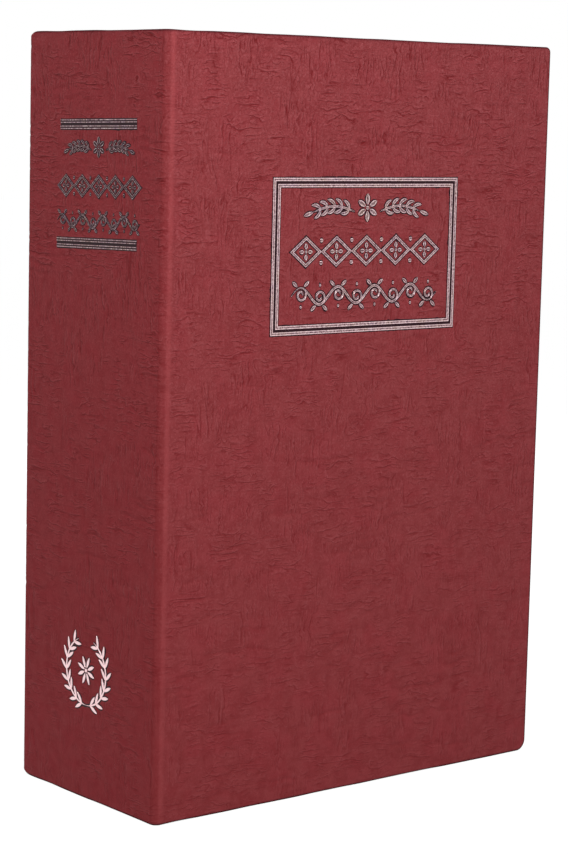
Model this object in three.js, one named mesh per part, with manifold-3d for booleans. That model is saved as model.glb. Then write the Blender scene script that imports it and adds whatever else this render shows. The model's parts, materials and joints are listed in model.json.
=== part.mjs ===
// A book diversion safe: a hardcover book whose page block is a moulded frame round a steel lock box.
// The front cover opens on a soft fold beside the spine, the box lid turns on a knuckle hinge, and a
// cam lock holds the lid shut. Millimetres, +Z up. The book stands on its tail: the spine faces -X, the
// front cover -Y, and the origin is at the middle of its footprint.
import * as THREE from 'three';
import { mergeVertices } from 'three/addons/utils/BufferGeometryUtils.js';
import Module from 'manifold-3d';

// The closed book
const bookHeight = 180;
const bookWidth = 119;
const bookThickness = 55;

// Covers: a board wrapped in leatherette whose edges turn in, with paper pasted over them
const clothThickness = 0.5;
const boardThickness = 2;
const paperThickness = 0.3;
const liningThickness = 0.4;
const turnIn = 14;
const coverCornerRadius = 2;

// The spine meets the front in a round corner and the back in a sharper one. A strip of leatherette lies
// between the spine's board and the front board, and the cover bends at the crease on each side of it.
const spineFrontRadius = 2;
const spineBackRadius = 1;
const boardCornerEase = 0.3;
const foldWidth = 5.5;
const creaseGap = 0.3;

// Page frame: a hollow moulding, open at the back, ridged like the edges of pages
const coverOverhang = 3;
const closedCoverGap = 0.3;
const frameBorder = 9;
const hingeSideBorder = 7;
const frameWall = 1.6;
const ridgeDepth = 0.5;
const ridgeCount = 22;

// Steel box: a folded tray on foam pads, and a lid with three edges turned down
const sheetThickness = 1;
const padThickness = 1.5;
const padWidth = 24;
const padInset = 6;
const lidFlangeDepth = 6;
const lidFrameGap = 0.6;
const lidTrayGap = 0.4;
const lidRestGap = 0.3;

// Knuckle hinge between tray and lid, with its pin and rivets
const hingeLength = 120;
const leafThickness = 0.8;
const leafWidth = 14;
const knuckleRadius = 2;
const knuckleBoreRadius = 1.5;
const pinRadius = 1.35;
const pinHeadRadius = 1.9;
const pinHeadThickness = 1;
const knuckleGap = 0.4;
const knuckleRunGap = 0.3;
const knuckleCount = 9;
const hingeFrameGap = 1.2;
const rivetRadius = 1.2;
const rivetHeadRadius = 2.2;
const rivetHeadThickness = 0.8;
const rivetHoleGap = 0.3;
const rivetCount = 3;
const rivetEndDistance = 20;

// Cam lock in the lid: a housing with a nut behind, a keyed plug with wafers, and a cam under a strike
const lockFlangeRadius = 10;
const lockFlangeThickness = 2;
const lockCoverGap = 1.3;
const barrelRadius = 7;
const barrelFlatReach = 6;
const barrelHoleGap = 0.3;
const washerRadius = 10.4;
const washerThickness = 0.8;
const nutRadius = 11;
const nutThickness = 4;
const plugRadius = 4.5;
const plugHeadRadius = 5.6;
const plugHeadThickness = 1.2;
const plugRunGap = 0.3;
const keywayWidth = 1.5;
const keywayHeight = 6.6;
const waferThickness = 0.8;
const waferPitch = 1.8;
const waferWidth = 3.4;
const waferHeight = 8;
const waferWindowWidth = 2;
const waferWindowHeight = 5;
const waferGap = 0.3;
const waferCount = 4;
const shankWidth = 5;
const camGap = 0.3;
const camThickness = 2;
const camWidth = 10;
const camReach = 12.5;
const camWallGap = 2;
const camScrewRadius = 1.3;
const camScrewHeadRadius = 3;
const camScrewHeadThickness = 1.8;
const camScrewDepth = 2.6;
const camWasherRadius = 4.2;
const camWasherThickness = 0.6;
const strikeThickness = 1.2;
const strikeReach = 5.5;
const strikeHeight = 8;
const strikeLength = 24;

// How far a cut runs past the face that it opens, and how finely curves are drawn
const cutOverrun = 1;
const cornerSegments = 5;
const roundSegments = 24;

// Places that follow from the sizes above
const left = -bookWidth / 2;
const right = bookWidth / 2;
const front = -bookThickness / 2;
const back = bookThickness / 2;
const wrappedThickness = clothThickness + boardThickness + clothThickness;
const coverThickness = wrappedThickness + paperThickness;
const coverStart = left + foldWidth;
const stripStart = left + wrappedThickness + creaseGap;
const stripEnd = coverStart - creaseGap;
const stripInside = front + clothThickness;
const jointLiningInside = stripInside + liningThickness;
const spineInside = left + coverThickness;
const backInside = back - coverThickness;
const frontInside = front + coverThickness;

const frameFront = frontInside + closedCoverGap;
const frameRight = right - coverOverhang;
const frameBottom = coverOverhang;
const frameTop = bookHeight - coverOverhang;
const openLeft = spineInside + hingeSideBorder;
const openRight = frameRight - frameBorder;
const openBottom = frameBottom + frameBorder;
const openTop = frameTop - frameBorder;

const lidFace = frontInside + lockCoverGap + lockFlangeThickness;
const lidUnder = lidFace + sheetThickness;
const pinX = openLeft + hingeFrameGap + knuckleRadius;
const pinY = lidFace - leafThickness + knuckleRadius;
const leafStart = knuckleRadius + knuckleRunGap;
const lidLeft = pinX + leafStart;
const lidRight = openRight - lidFrameGap;
const lidBottom = openBottom + lidFrameGap;
const lidTop = openTop - lidFrameGap;
const hingeBottom = (bookHeight - hingeLength) / 2;
const knucklePitch = hingeLength / knuckleCount;

const trayLeft = pinX + knuckleRadius;
const trayRight = lidRight - sheetThickness - lidTrayGap;
const trayBottom = lidBottom + sheetThickness + lidTrayGap;
const trayTop = lidTop - sheetThickness - lidTrayGap;
const trayRim = lidUnder + lidRestGap;
const trayBack = backInside - padThickness;
const trayInsideRight = trayRight - sheetThickness;

const lockX = trayInsideRight - camWallGap - camReach;
const lockZ = bookHeight / 2;
const lockFront = lidFace - lockFlangeThickness;
const washerBack = lidUnder + washerThickness;
const nutBack = washerBack + nutThickness;
const plugFront = lockFront + plugRunGap;
const plugHeadBack = plugFront + plugHeadThickness;
const waferStart = plugHeadBack + waferPitch;
const waferEnd = waferStart + waferCount * waferPitch;
const camScrewFront = waferEnd + waferGap;
const barrelEnd = camScrewFront + camScrewDepth;
const camFront = barrelEnd + camGap;
const camBack = camFront + camThickness;
const camWasherBack = camBack + camWasherThickness;
const strikeUnder = camFront - camGap;

const wasm = await Module();
wasm.setup();

// A closed solid from a geometry: equal vertices are merged, and triangles left without area dropped.
function solidFrom(geometry) {
  geometry.deleteAttribute('normal');
  geometry.deleteAttribute('uv');
  const merged = mergeVertices(geometry);
  const corners = merged.index.array;
  const triangles = [];
  for (let i = 0; i < corners.length; i += 3) {
    const [a, b, c] = [corners[i], corners[i + 1], corners[i + 2]];
    if (a !== b && b !== c && c !== a) triangles.push(a, b, c);
  }
  const vertProperties = merged.attributes.position.array;
  const triVerts = new Uint32Array(triangles);
  return new wasm.Manifold(new wasm.Mesh({ numProp: 3, vertProperties, triVerts }));
}

function geometryFrom(solid) {
  const { vertProperties, triVerts } = solid.getMesh();
  const geometry = new THREE.BufferGeometry();
  geometry.setAttribute('position', new THREE.BufferAttribute(vertProperties, 3));
  geometry.setIndex(new THREE.BufferAttribute(triVerts, 1));
  geometry.computeVertexNormals();
  return geometry;
}

// Moves every vertex of a geometry to where the given function puts it.
function mapVertices(geometry, place) {
  const position = geometry.attributes.position;
  for (let i = 0; i < position.count; i += 1) {
    position.setXYZ(i, ...place(position.getX(i), position.getY(i), position.getZ(i)));
  }
  return geometry;
}

// A block between two corners. Its faces lie exactly on their coordinates, so blocks can touch.
function block([x0, y0, z0], [x1, y1, z1]) {
  const place = (x, y, z) => [x < 0 ? x0 : x1, y < 0 ? y0 : y1, z < 0 ? z0 : z1];
  return solidFrom(mapVertices(new THREE.BoxGeometry(1, 1, 1), place));
}

// The outline (x, y) carried from z0 up to z1, with any holes left open.
function prismZ(outline, z0, z1, holes = []) {
  const shape = new THREE.Shape(outline);
  shape.holes = holes.map((hole) => new THREE.Path(hole));
  const geometry = new THREE.ExtrudeGeometry(shape, { depth: 1, bevelEnabled: false });
  return solidFrom(mapVertices(geometry, (x, y, z) => [x, y, z < 0.5 ? z0 : z1]));
}

// The outline (x, z) carried from y0 back to y1. It starts at the back, which keeps faces outwards.
function prismY(outline, y0, y1, holes = []) {
  const shape = new THREE.Shape(outline);
  shape.holes = holes.map((hole) => new THREE.Path(hole));
  const geometry = new THREE.ExtrudeGeometry(shape, { depth: 1, bevelEnabled: false });
  return solidFrom(mapVertices(geometry, (x, z, y) => [x, y < 0.5 ? y1 : y0, z]));
}

// Points on an arc round a centre, both ends included.
function arc(centreX, centreY, radius, startAngle, endAngle, segments) {
  const points = [];
  for (let i = 0; i <= segments; i += 1) {
    const angle = startAngle + ((endAngle - startAngle) * i) / segments;
    points.push(new THREE.Vector2(centreX + radius * Math.cos(angle), centreY + radius * Math.sin(angle)));
  }
  return points;
}

function circle(centreX, centreY, radius) {
  return arc(centreX, centreY, radius, 0, Math.PI * 2, roundSegments).slice(0, -1);
}

function rectangle(x0, y0, x1, y1) {
  return [[x0, y0], [x1, y0], [x1, y1], [x0, y1]].map(([x, y]) => new THREE.Vector2(x, y));
}

// A round piece turned about a +Y axis through (x, z), from [radius, y] steps of its outside.
function turnedY(x, z, steps) {
  const profile = steps.map(([radius, y]) => new THREE.Vector2(radius, y));
  const geometry = new THREE.LatheGeometry(profile, roundSegments);
  return mapVertices(geometry, (px, py, pz) => [px + x, py, pz + z]);
}

// The upright face of a cover: square at the fold, rounded at the two outer corners.
function coverOutline(x0, x1, z0, z1, radius) {
  return [
    new THREE.Vector2(x0, z0),
    ...arc(x1 - radius, z0 + radius, radius, -Math.PI / 2, 0, cornerSegments),
    ...arc(x1 - radius, z1 - radius, radius, 0, Math.PI / 2, cornerSegments),
    new THREE.Vector2(x0, z1),
  ];
}

// The spine's two rounded outer corners, back then front, drawn in from the outside by the given inset.
function spineCorners(inset, frontRadius, backRadius) {
  const outside = left + inset;
  const backCentre = back - inset - backRadius;
  const frontCentre = front + inset + frontRadius;
  return [
    ...arc(outside + backRadius, backCentre, backRadius, Math.PI / 2, Math.PI, cornerSegments),
    ...arc(outside + frontRadius, frontCentre, frontRadius, Math.PI, (3 * Math.PI) / 2, cornerSegments),
  ];
}

const leatherette = () => new THREE.MeshStandardMaterial({ color: 0x8f2a30, roughness: 0.5 });
const greyboard = () => new THREE.MeshStandardMaterial({ color: 0x8d867b, roughness: 0.95 });
const paper = () => new THREE.MeshStandardMaterial({ color: 0xefe8d8, roughness: 0.9 });
const lining = () => new THREE.MeshStandardMaterial({ color: 0xd8d0c0, roughness: 0.95 });
const pagePlastic = () => new THREE.MeshStandardMaterial({ color: 0xeadfc2, roughness: 0.7 });
const blackPaint = () => new THREE.MeshStandardMaterial({ color: 0x202124, roughness: 0.6, metalness: 0.2 });
const foam = () => new THREE.MeshStandardMaterial({ color: 0x3a3a3c, roughness: 1 });
const steel = () => new THREE.MeshStandardMaterial({ color: 0xa9abad, roughness: 0.35, metalness: 1 });
const nickel = () => new THREE.MeshStandardMaterial({ color: 0xd5d2cb, roughness: 0.2, metalness: 1 });
const brass = () => new THREE.MeshStandardMaterial({ color: 0xc9a45c, roughness: 0.35, metalness: 1 });

function piece(name, shape, material) {
  const geometry = shape.isBufferGeometry ? shape : geometryFrom(shape);
  const mesh = new THREE.Mesh(geometry, material);
  mesh.name = name;
  return mesh;
}

// Front cover: the board lies in its wrap, whose edges turn in over the board's back.
function frontWrap() {
  const inside = front + wrappedThickness;
  const boardBack = front + clothThickness + boardThickness;
  const skin = prismY(coverOutline(coverStart, right, 0, bookHeight, coverCornerRadius), front, inside);
  const boardRoom = prismY(
    coverOutline(
      coverStart - cutOverrun,
      right - clothThickness,
      clothThickness,
      bookHeight - clothThickness,
      coverCornerRadius - clothThickness,
    ),
    front + clothThickness,
    boardBack,
  );
  const window = block(
    [coverStart - cutOverrun, boardBack - boardThickness / 2, turnIn],
    [right - turnIn, inside + cutOverrun, bookHeight - turnIn],
  );
  return piece('front_wrap', skin.subtract(boardRoom).subtract(window), leatherette());
}

function frontBoard() {
  const outline = coverOutline(
    coverStart,
    right - clothThickness,
    clothThickness,
    bookHeight - clothThickness,
    coverCornerRadius,
  );
  const boardFront = front + clothThickness;
  return piece('front_board', prismY(outline, boardFront, boardFront + boardThickness), greyboard());
}

// Paper over the inside of a cover: it fills the window between the turned edges and laps over them.
function frontEndpaper() {
  const turnInFace = front + wrappedThickness;
  const fill = block(
    [coverStart, turnInFace - clothThickness, turnIn],
    [right - turnIn, turnInFace, bookHeight - turnIn],
  );
  const sheet = block([coverStart, turnInFace, coverOverhang], [frameRight, frontInside, frameTop]);
  return piece('front_endpaper', sheet.add(fill), paper());
}

// Soft fold beside the spine: a strip of the leatherette with cloth behind it.
function jointStrip() {
  const strip = block([stripStart, front, 0], [stripEnd, stripInside, bookHeight]);
  return piece('joint_strip', strip, leatherette());
}

function jointLining() {
  const cloth = block([stripStart, stripInside, coverOverhang], [stripEnd, jointLiningInside, frameTop]);
  return piece('joint_lining', cloth, lining());
}

// An upright shell over the spine, round its back corner and along the back cover.
function spineAndBackShell(inset, thickness, endX, z0, z1) {
  const insideX = left + inset + thickness;
  const insideY = back - inset - thickness;
  const outline = [
    new THREE.Vector2(insideX, front + inset),
    new THREE.Vector2(insideX, insideY),
    new THREE.Vector2(endX, insideY),
    new THREE.Vector2(endX, back - inset),
    ...spineCorners(inset, spineFrontRadius - inset, spineBackRadius - inset),
  ];
  return prismZ(outline, z0, z1);
}

function spineAndBackWrap() {
  const skin = spineAndBackShell(0, wrappedThickness, right, 0, bookHeight);
  const outline = coverOutline(left - cutOverrun, right, 0, bookHeight, coverCornerRadius);
  const rounded = prismY(outline, front - cutOverrun, back + cutOverrun);
  const boardRoom = spineAndBackShell(
    clothThickness,
    boardThickness,
    right - clothThickness,
    clothThickness,
    bookHeight - clothThickness,
  );
  const inset = clothThickness + boardThickness;
  const window = block(
    [left + inset, front + clothThickness, turnIn],
    [right - turnIn, back - inset, bookHeight - turnIn],
  );
  const wrap = skin.intersect(rounded).subtract(boardRoom).subtract(window);
  return piece('spine_and_back_wrap', wrap, leatherette());
}

// The spine's board: its outer corners are eased so that they stay clear of the wrap's.
function spineBoard() {
  const inside = left + clothThickness + boardThickness;
  const ease = boardCornerEase - clothThickness;
  const outline = [
    new THREE.Vector2(inside, front + clothThickness),
    new THREE.Vector2(inside, back - clothThickness),
    ...spineCorners(clothThickness, spineFrontRadius + ease, spineBackRadius + ease),
  ];
  return piece('spine_board', prismZ(outline, clothThickness, bookHeight - clothThickness), greyboard());
}

function backBoard() {
  const outline = coverOutline(
    coverStart,
    right - clothThickness,
    clothThickness,
    bookHeight - clothThickness,
    coverCornerRadius,
  );
  const outside = back - clothThickness;
  return piece('back_board', prismY(outline, outside - boardThickness, outside), greyboard());
}

// Cloth on the inside of the wrap, over the gap between the spine's board and the back board.
function backJointLining() {
  const outside = back - clothThickness;
  const cloth = block(
    [left + clothThickness + boardThickness, outside - liningThickness, clothThickness],
    [coverStart, outside, bookHeight - clothThickness],
  );
  return piece('back_joint_lining', cloth, lining());
}

// Paper over the inside of the spine. The sheet starts behind the moving fold, and stays clear of it.
function spineLining() {
  const turnInFace = left + wrappedThickness;
  const fill = block(
    [turnInFace - clothThickness, front + clothThickness, turnIn],
    [turnInFace, backInside, bookHeight - turnIn],
  );
  const sheet = block(
    [turnInFace, jointLiningInside + creaseGap, frameBottom],
    [spineInside, backInside, frameTop],
  );
  return piece('spine_lining', sheet.add(fill), paper());
}

function backEndpaper() {
  const turnInFace = back - wrappedThickness;
  const sheetLeft = left + wrappedThickness;
  const fill = block(
    [sheetLeft, turnInFace, turnIn],
    [right - turnIn, turnInFace + clothThickness, bookHeight - turnIn],
  );
  const sheet = block([sheetLeft, backInside, frameBottom], [frameRight, turnInFace, frameTop]);
  return piece('back_endpaper', sheet.add(fill), paper());
}

// The outside of the page frame: rings of four corners, drawn in and out by turns along the thickness,
// make ridges on the three sides where a book shows its pages. The side at the spine stays flat.
function ridgedBlock() {
  const levels = 2 * ridgeCount;
  const corners = [];
  for (let level = 0; level <= levels; level += 1) {
    const inset = level % 2 === 0 ? ridgeDepth : 0;
    const y = level === levels ? backInside : frameFront + ((backInside - frameFront) * level) / levels;
    corners.push(spineInside, y, frameBottom + inset);
    corners.push(frameRight - inset, y, frameBottom + inset);
    corners.push(frameRight - inset, y, frameTop - inset);
    corners.push(spineInside, y, frameTop - inset);
  }
  const faces = [0, 1, 2, 0, 2, 3];
  for (let ring = 0; ring < levels; ring += 1) {
    for (let side = 0; side < 4; side += 1) {
      const a = 4 * ring + side;
      const b = 4 * ring + ((side + 1) % 4);
      faces.push(a, a + 4, b, b, a + 4, b + 4);
    }
  }
  const last = 4 * levels;
  faces.push(last, last + 2, last + 1, last, last + 3, last + 2);
  const geometry = new THREE.BufferGeometry();
  geometry.setAttribute('position', new THREE.Float32BufferAttribute(corners, 3));
  geometry.setIndex(faces);
  return solidFrom(geometry);
}

// The moulding is hollow: an outer wall, a front rim and an inner wall round the box.
function pageFrame() {
  const wallInside = ridgeDepth + frameWall;
  const hollowFront = frameFront + frameWall;
  const hollow = block(
    [spineInside + frameWall, hollowFront, frameBottom + wallInside],
    [frameRight - wallInside, backInside + cutOverrun, frameTop - wallInside],
  );
  const innerWall = block(
    [openLeft - frameWall, hollowFront - cutOverrun, openBottom - frameWall],
    [openRight + frameWall, backInside + 2 * cutOverrun, openTop + frameWall],
  );
  const opening = block(
    [openLeft, frameFront - cutOverrun, openBottom],
    [openRight, backInside + cutOverrun, openTop],
  );
  const frame = ridgedBlock().subtract(hollow.subtract(innerWall)).subtract(opening);
  return piece('page_frame', frame, pagePlastic());
}

// Heights of the rivets along the hinge.
function rivetHeights() {
  const span = hingeLength - 2 * rivetEndDistance;
  return Array.from({ length: rivetCount }, (_, i) => {
    return hingeBottom + rivetEndDistance + (span * i) / (rivetCount - 1);
  });
}

// Rivet holes run along Y through the lid, and along X through the tray's wall.
const lidRivetX = pinX + (leafStart + leafWidth) / 2;
const trayRivetY = pinY + (leafStart + leafWidth) / 2;

function lidRivetHoles() {
  const cuts = rivetHeights().map((z) => {
    const outline = circle(lidRivetX, z, rivetRadius + rivetHoleGap);
    return prismY(outline, lidFace - leafThickness - cutOverrun, lidUnder + cutOverrun);
  });
  return cuts.reduce((all, cut) => all.add(cut));
}

function turnToX(geometry) {
  return mapVertices(geometry, (x, y, z) => [-y, x, z]);
}

function trayRivetHoles() {
  const cuts = rivetHeights().map((z) => {
    const depth = leafThickness + sheetThickness + 2 * cutOverrun;
    const start = -(trayLeft + sheetThickness + cutOverrun);
    const steps = [[0, start], [rivetRadius + rivetHoleGap, start]];
    steps.push([rivetRadius + rivetHoleGap, start + depth], [0, start + depth]);
    return solidFrom(turnToX(turnedY(trayRivetY, z, steps)));
  });
  return cuts.reduce((all, cut) => all.add(cut));
}

function tray() {
  const outside = block([trayLeft, trayRim, trayBottom], [trayRight, trayBack, trayTop]);
  const inside = block(
    [trayLeft + sheetThickness, trayRim - cutOverrun, trayBottom + sheetThickness],
    [trayInsideRight, trayBack - sheetThickness, trayTop - sheetThickness],
  );
  return piece('tray', outside.subtract(inside).subtract(trayRivetHoles()), blackPaint());
}

function mountingPads() {
  const lows = [trayLeft + padInset, trayRight - padInset - padWidth];
  const bottoms = [trayBottom + padInset, trayTop - padInset - padWidth];
  const places = lows.flatMap((x) => bottoms.map((z) => [x, z]));
  return places.map(([x, z], i) => {
    const pad = block([x, trayBack, z], [x + padWidth, backInside, z + padWidth]);
    return piece(`mounting_pad_${i + 1}`, pad, foam());
  });
}

// An angle on the tray's wall. The turned cam lies under its short leg and holds the lid down.
function lockStrike() {
  const low = lockZ - strikeLength / 2;
  const high = lockZ + strikeLength / 2;
  const wallLeg = block(
    [trayInsideRight - strikeThickness, strikeUnder - strikeHeight, low],
    [trayInsideRight, strikeUnder, high],
  );
  const shortLeg = block(
    [trayInsideRight - strikeReach, strikeUnder - strikeThickness, low],
    [trayInsideRight, strikeUnder, high],
  );
  return piece('lock_strike', wallLeg.add(shortLeg), steel());
}

// The height range of one knuckle, with half the gap to its neighbours left at each end.
function knuckleSpan(i) {
  const low = hingeBottom + i * knucklePitch;
  return [low + knuckleGap / 2, low + knucklePitch - knuckleGap / 2];
}

// Every second knuckle is rolled from one leaf, with a finger of that leaf leading to it.
function hingeLeaf(plate, finger, firstKnuckle, rivetHoles) {
  let leaf = plate;
  for (let i = firstKnuckle; i < knuckleCount; i += 2) {
    const [low, high] = knuckleSpan(i);
    leaf = leaf.add(finger(low, high)).add(prismZ(circle(pinX, pinY, knuckleRadius), low, high));
  }
  const high = hingeBottom + hingeLength;
  const bore = prismZ(circle(pinX, pinY, knuckleBoreRadius), hingeBottom - cutOverrun, high + cutOverrun);
  return leaf.subtract(bore).subtract(rivetHoles);
}

function lidHingeLeaf() {
  const top = lidFace - leafThickness;
  const plate = block(
    [pinX + leafStart, top, hingeBottom],
    [pinX + leafWidth, lidFace, hingeBottom + hingeLength],
  );
  const finger = (low, high) => block([pinX, top, low], [pinX + leafStart + knuckleGap, lidFace, high]);
  return piece('lid_hinge_leaf', hingeLeaf(plate, finger, 1, lidRivetHoles()), blackPaint());
}

function trayHingeLeaf() {
  const outside = trayLeft - leafThickness;
  const plate = block(
    [outside, pinY + leafStart, hingeBottom],
    [trayLeft, pinY + leafWidth, hingeBottom + hingeLength],
  );
  const finger = (low, high) => block([outside, pinY, low], [trayLeft, pinY + leafStart + knuckleGap, high]);
  return piece('tray_hinge_leaf', hingeLeaf(plate, finger, 0, trayRivetHoles()), blackPaint());
}

function hingePin() {
  const low = hingeBottom - knuckleGap;
  const high = hingeBottom + hingeLength + knuckleGap;
  const pin = prismZ(circle(pinX, pinY, pinRadius), low - pinHeadThickness, high + pinHeadThickness)
    .add(prismZ(circle(pinX, pinY, pinHeadRadius), low - pinHeadThickness, low))
    .add(prismZ(circle(pinX, pinY, pinHeadRadius), high, high + pinHeadThickness));
  return piece('hinge_pin', pin, steel());
}

// Steps of a rivet's outside: a head on each face of the plates that it holds.
function rivetSteps(low, high) {
  return [
    [0, low - rivetHeadThickness],
    [rivetHeadRadius, low - rivetHeadThickness],
    [rivetHeadRadius, low],
    [rivetRadius, low],
    [rivetRadius, high],
    [rivetHeadRadius, high],
    [rivetHeadRadius, high + rivetHeadThickness],
    [0, high + rivetHeadThickness],
  ];
}

function lidRivets() {
  const steps = rivetSteps(lidFace - leafThickness, lidUnder);
  return rivetHeights().map((z, i) => {
    return piece(`lid_rivet_${i + 1}`, solidFrom(turnedY(lidRivetX, z, steps)), steel());
  });
}

function trayRivets() {
  const steps = rivetSteps(-(trayLeft + sheetThickness), -(trayLeft - leafThickness));
  return rivetHeights().map((z, i) => {
    return piece(`tray_rivet_${i + 1}`, solidFrom(turnToX(turnedY(trayRivetY, z, steps))), steel());
  });
}

// A round outline with a flat on each side, as the lock's barrel and the hole for it have.
function flattedCircle(radius, flatReach) {
  const openAngle = Math.acos(flatReach / radius);
  const half = roundSegments / 2;
  return [
    ...arc(lockX, lockZ, radius, openAngle, Math.PI - openAngle, half),
    ...arc(lockX, lockZ, radius, Math.PI + openAngle, 2 * Math.PI - openAngle, half),
  ];
}

function lidPanel() {
  const flangeBack = lidUnder + lidFlangeDepth;
  const outside = block([lidLeft, lidFace, lidBottom], [lidRight, flangeBack, lidTop]);
  const inside = block(
    [lidLeft - cutOverrun, lidUnder, lidBottom + sheetThickness],
    [lidRight - sheetThickness, flangeBack + cutOverrun, lidTop - sheetThickness],
  );
  const lockOutline = flattedCircle(barrelRadius + barrelHoleGap, barrelFlatReach + barrelHoleGap);
  const lockHole = prismY(lockOutline, lidFace - cutOverrun, lidUnder + cutOverrun);
  const panel = outside.subtract(inside).subtract(lockHole).subtract(lidRivetHoles());
  return piece('lid_panel', panel, blackPaint());
}

function lockHousing() {
  const flange = prismY(circle(lockX, lockZ, lockFlangeRadius), lockFront, lidFace);
  const barrel = prismY(flattedCircle(barrelRadius, barrelFlatReach), lidFace, barrelEnd);
  const headRoom = prismY(
    circle(lockX, lockZ, plugHeadRadius + plugRunGap),
    lockFront - cutOverrun,
    plugHeadBack + plugRunGap,
  );
  const bore = prismY(
    circle(lockX, lockZ, plugRadius + plugRunGap),
    lockFront - cutOverrun,
    barrelEnd + cutOverrun,
  );
  return piece('lock_housing', flange.add(barrel).subtract(headRoom).subtract(bore), nickel());
}

function lockWasher() {
  const hole = circle(lockX, lockZ, barrelRadius + barrelHoleGap);
  return piece('lock_washer', prismY(circle(lockX, lockZ, washerRadius), lidUnder, washerBack, [hole]), steel());
}

function lockNut() {
  const hexagon = arc(lockX, lockZ, nutRadius, 0, Math.PI * 2, 6).slice(0, -1);
  const hole = circle(lockX, lockZ, barrelRadius + barrelHoleGap);
  return piece('lock_nut', prismY(hexagon, washerBack, nutBack, [hole]), brass());
}

// The place of each wafer along the plug.
function waferFronts() {
  return Array.from({ length: waferCount }, (_, i) => waferStart + i * waferPitch);
}

function lockPlug() {
  const outside = [
    [0, plugFront],
    [plugHeadRadius, plugFront],
    [plugHeadRadius, plugHeadBack],
    [plugRadius, plugHeadBack],
    [plugRadius, barrelEnd],
    [0, barrelEnd],
  ];
  const halfShank = shankWidth / 2;
  const shankStart = barrelEnd - cutOverrun;
  const keyway = block(
    [lockX - keywayWidth / 2, plugFront - cutOverrun, lockZ - keywayHeight / 2],
    [lockX + keywayWidth / 2, waferEnd, lockZ + keywayHeight / 2],
  );
  const shank = block(
    [lockX - halfShank, shankStart, lockZ - halfShank],
    [lockX + halfShank, camBack - camGap, lockZ + halfShank],
  );
  const screwHole = prismY(circle(lockX, lockZ, camScrewRadius + camGap), camScrewFront - camGap, camBack);
  let plug = solidFrom(turnedY(lockX, lockZ, outside)).add(shank).subtract(keyway).subtract(screwHole);
  for (const y of waferFronts()) {
    const halfWidth = waferWidth / 2 + waferGap;
    plug = plug.subtract(block(
      [lockX - halfWidth, y - waferGap, lockZ - plugHeadRadius],
      [lockX + halfWidth, y + waferThickness + waferGap, lockZ + plugHeadRadius],
    ));
  }
  return piece('lock_plug', plug, nickel());
}

// Wafers: plates with a window for the key, in slots across the plug.
function lockWafers() {
  const halfWidth = waferWidth / 2;
  const halfHeight = waferHeight / 2;
  const plate = rectangle(lockX - halfWidth, lockZ - halfHeight, lockX + halfWidth, lockZ + halfHeight);
  const halfWindow = waferWindowWidth / 2;
  const halfTall = waferWindowHeight / 2;
  const window = rectangle(lockX - halfWindow, lockZ - halfTall, lockX + halfWindow, lockZ + halfTall);
  return waferFronts().map((y, i) => {
    return piece(`lock_wafer_${i + 1}`, prismY(plate, y, y + waferThickness, [window]), brass());
  });
}

// The cam: a bar on the plug's square shank, its long end upwards while the lock is open.
function lockCam() {
  const half = camWidth / 2;
  const outline = [
    ...arc(lockX, lockZ + camReach - half, half, 0, Math.PI, roundSegments / 2),
    ...arc(lockX, lockZ, half, Math.PI, 2 * Math.PI, roundSegments / 2),
  ];
  const room = shankWidth / 2 + camGap;
  const hole = rectangle(lockX - room, lockZ - room, lockX + room, lockZ + room);
  return piece('lock_cam', prismY(outline, camFront, camBack, [hole]), steel());
}

function camWasher() {
  const hole = circle(lockX, lockZ, camScrewRadius + camGap);
  const ring = prismY(circle(lockX, lockZ, camWasherRadius), camBack, camWasherBack, [hole]);
  return piece('cam_washer', ring, steel());
}

function camScrew() {
  const shaft = prismY(circle(lockX, lockZ, camScrewRadius), camScrewFront, camWasherBack);
  const headBack = camWasherBack + camScrewHeadThickness;
  const head = prismY(circle(lockX, lockZ, camScrewHeadRadius), camWasherBack, headBack);
  return piece('cam_screw', shaft.add(head), steel());
}

function group(...pieces) {
  const made = new THREE.Group();
  made.add(...pieces);
  return made;
}

const frontCover = group(frontWrap(), frontBoard(), frontEndpaper());
const fold = group(jointStrip(), jointLining());
const caseBack = group(
  spineAndBackWrap(),
  spineBoard(),
  backBoard(),
  backJointLining(),
  spineLining(),
  backEndpaper(),
);
const box = group(pageFrame(), tray(), ...mountingPads(), lockStrike());
const hinge = group(trayHingeLeaf(), hingePin(), ...trayRivets());
const lid = group(lidPanel(), lidHingeLeaf(), ...lidRivets());
const lock = group(lockHousing(), lockWasher(), lockNut());
const plug = group(lockPlug(), ...lockWafers(), lockCam(), camWasher(), camScrew());

export default group(frontCover, fold, caseBack, box, hinge, lid, lock, plug);
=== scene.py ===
# %% [markdown]
# # A book that hides a lock box
# This notebook dresses the measured frame of a book safe: boards wrapped in red embossed leatherette, a
# soft fold beside the spine, silver foil stamped on front and spine, a moulding that stands for the
# pages, and a black steel box with a cam lock inside. The frame comes first and is never moved.
# Lengths below are in millimetres, and one constant turns them into Blender's metres.

# %% Load the frame and read the book's size from it
import json
import math
import bmesh
import bpy
import numpy as np
from mathutils import Matrix, Vector

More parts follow.
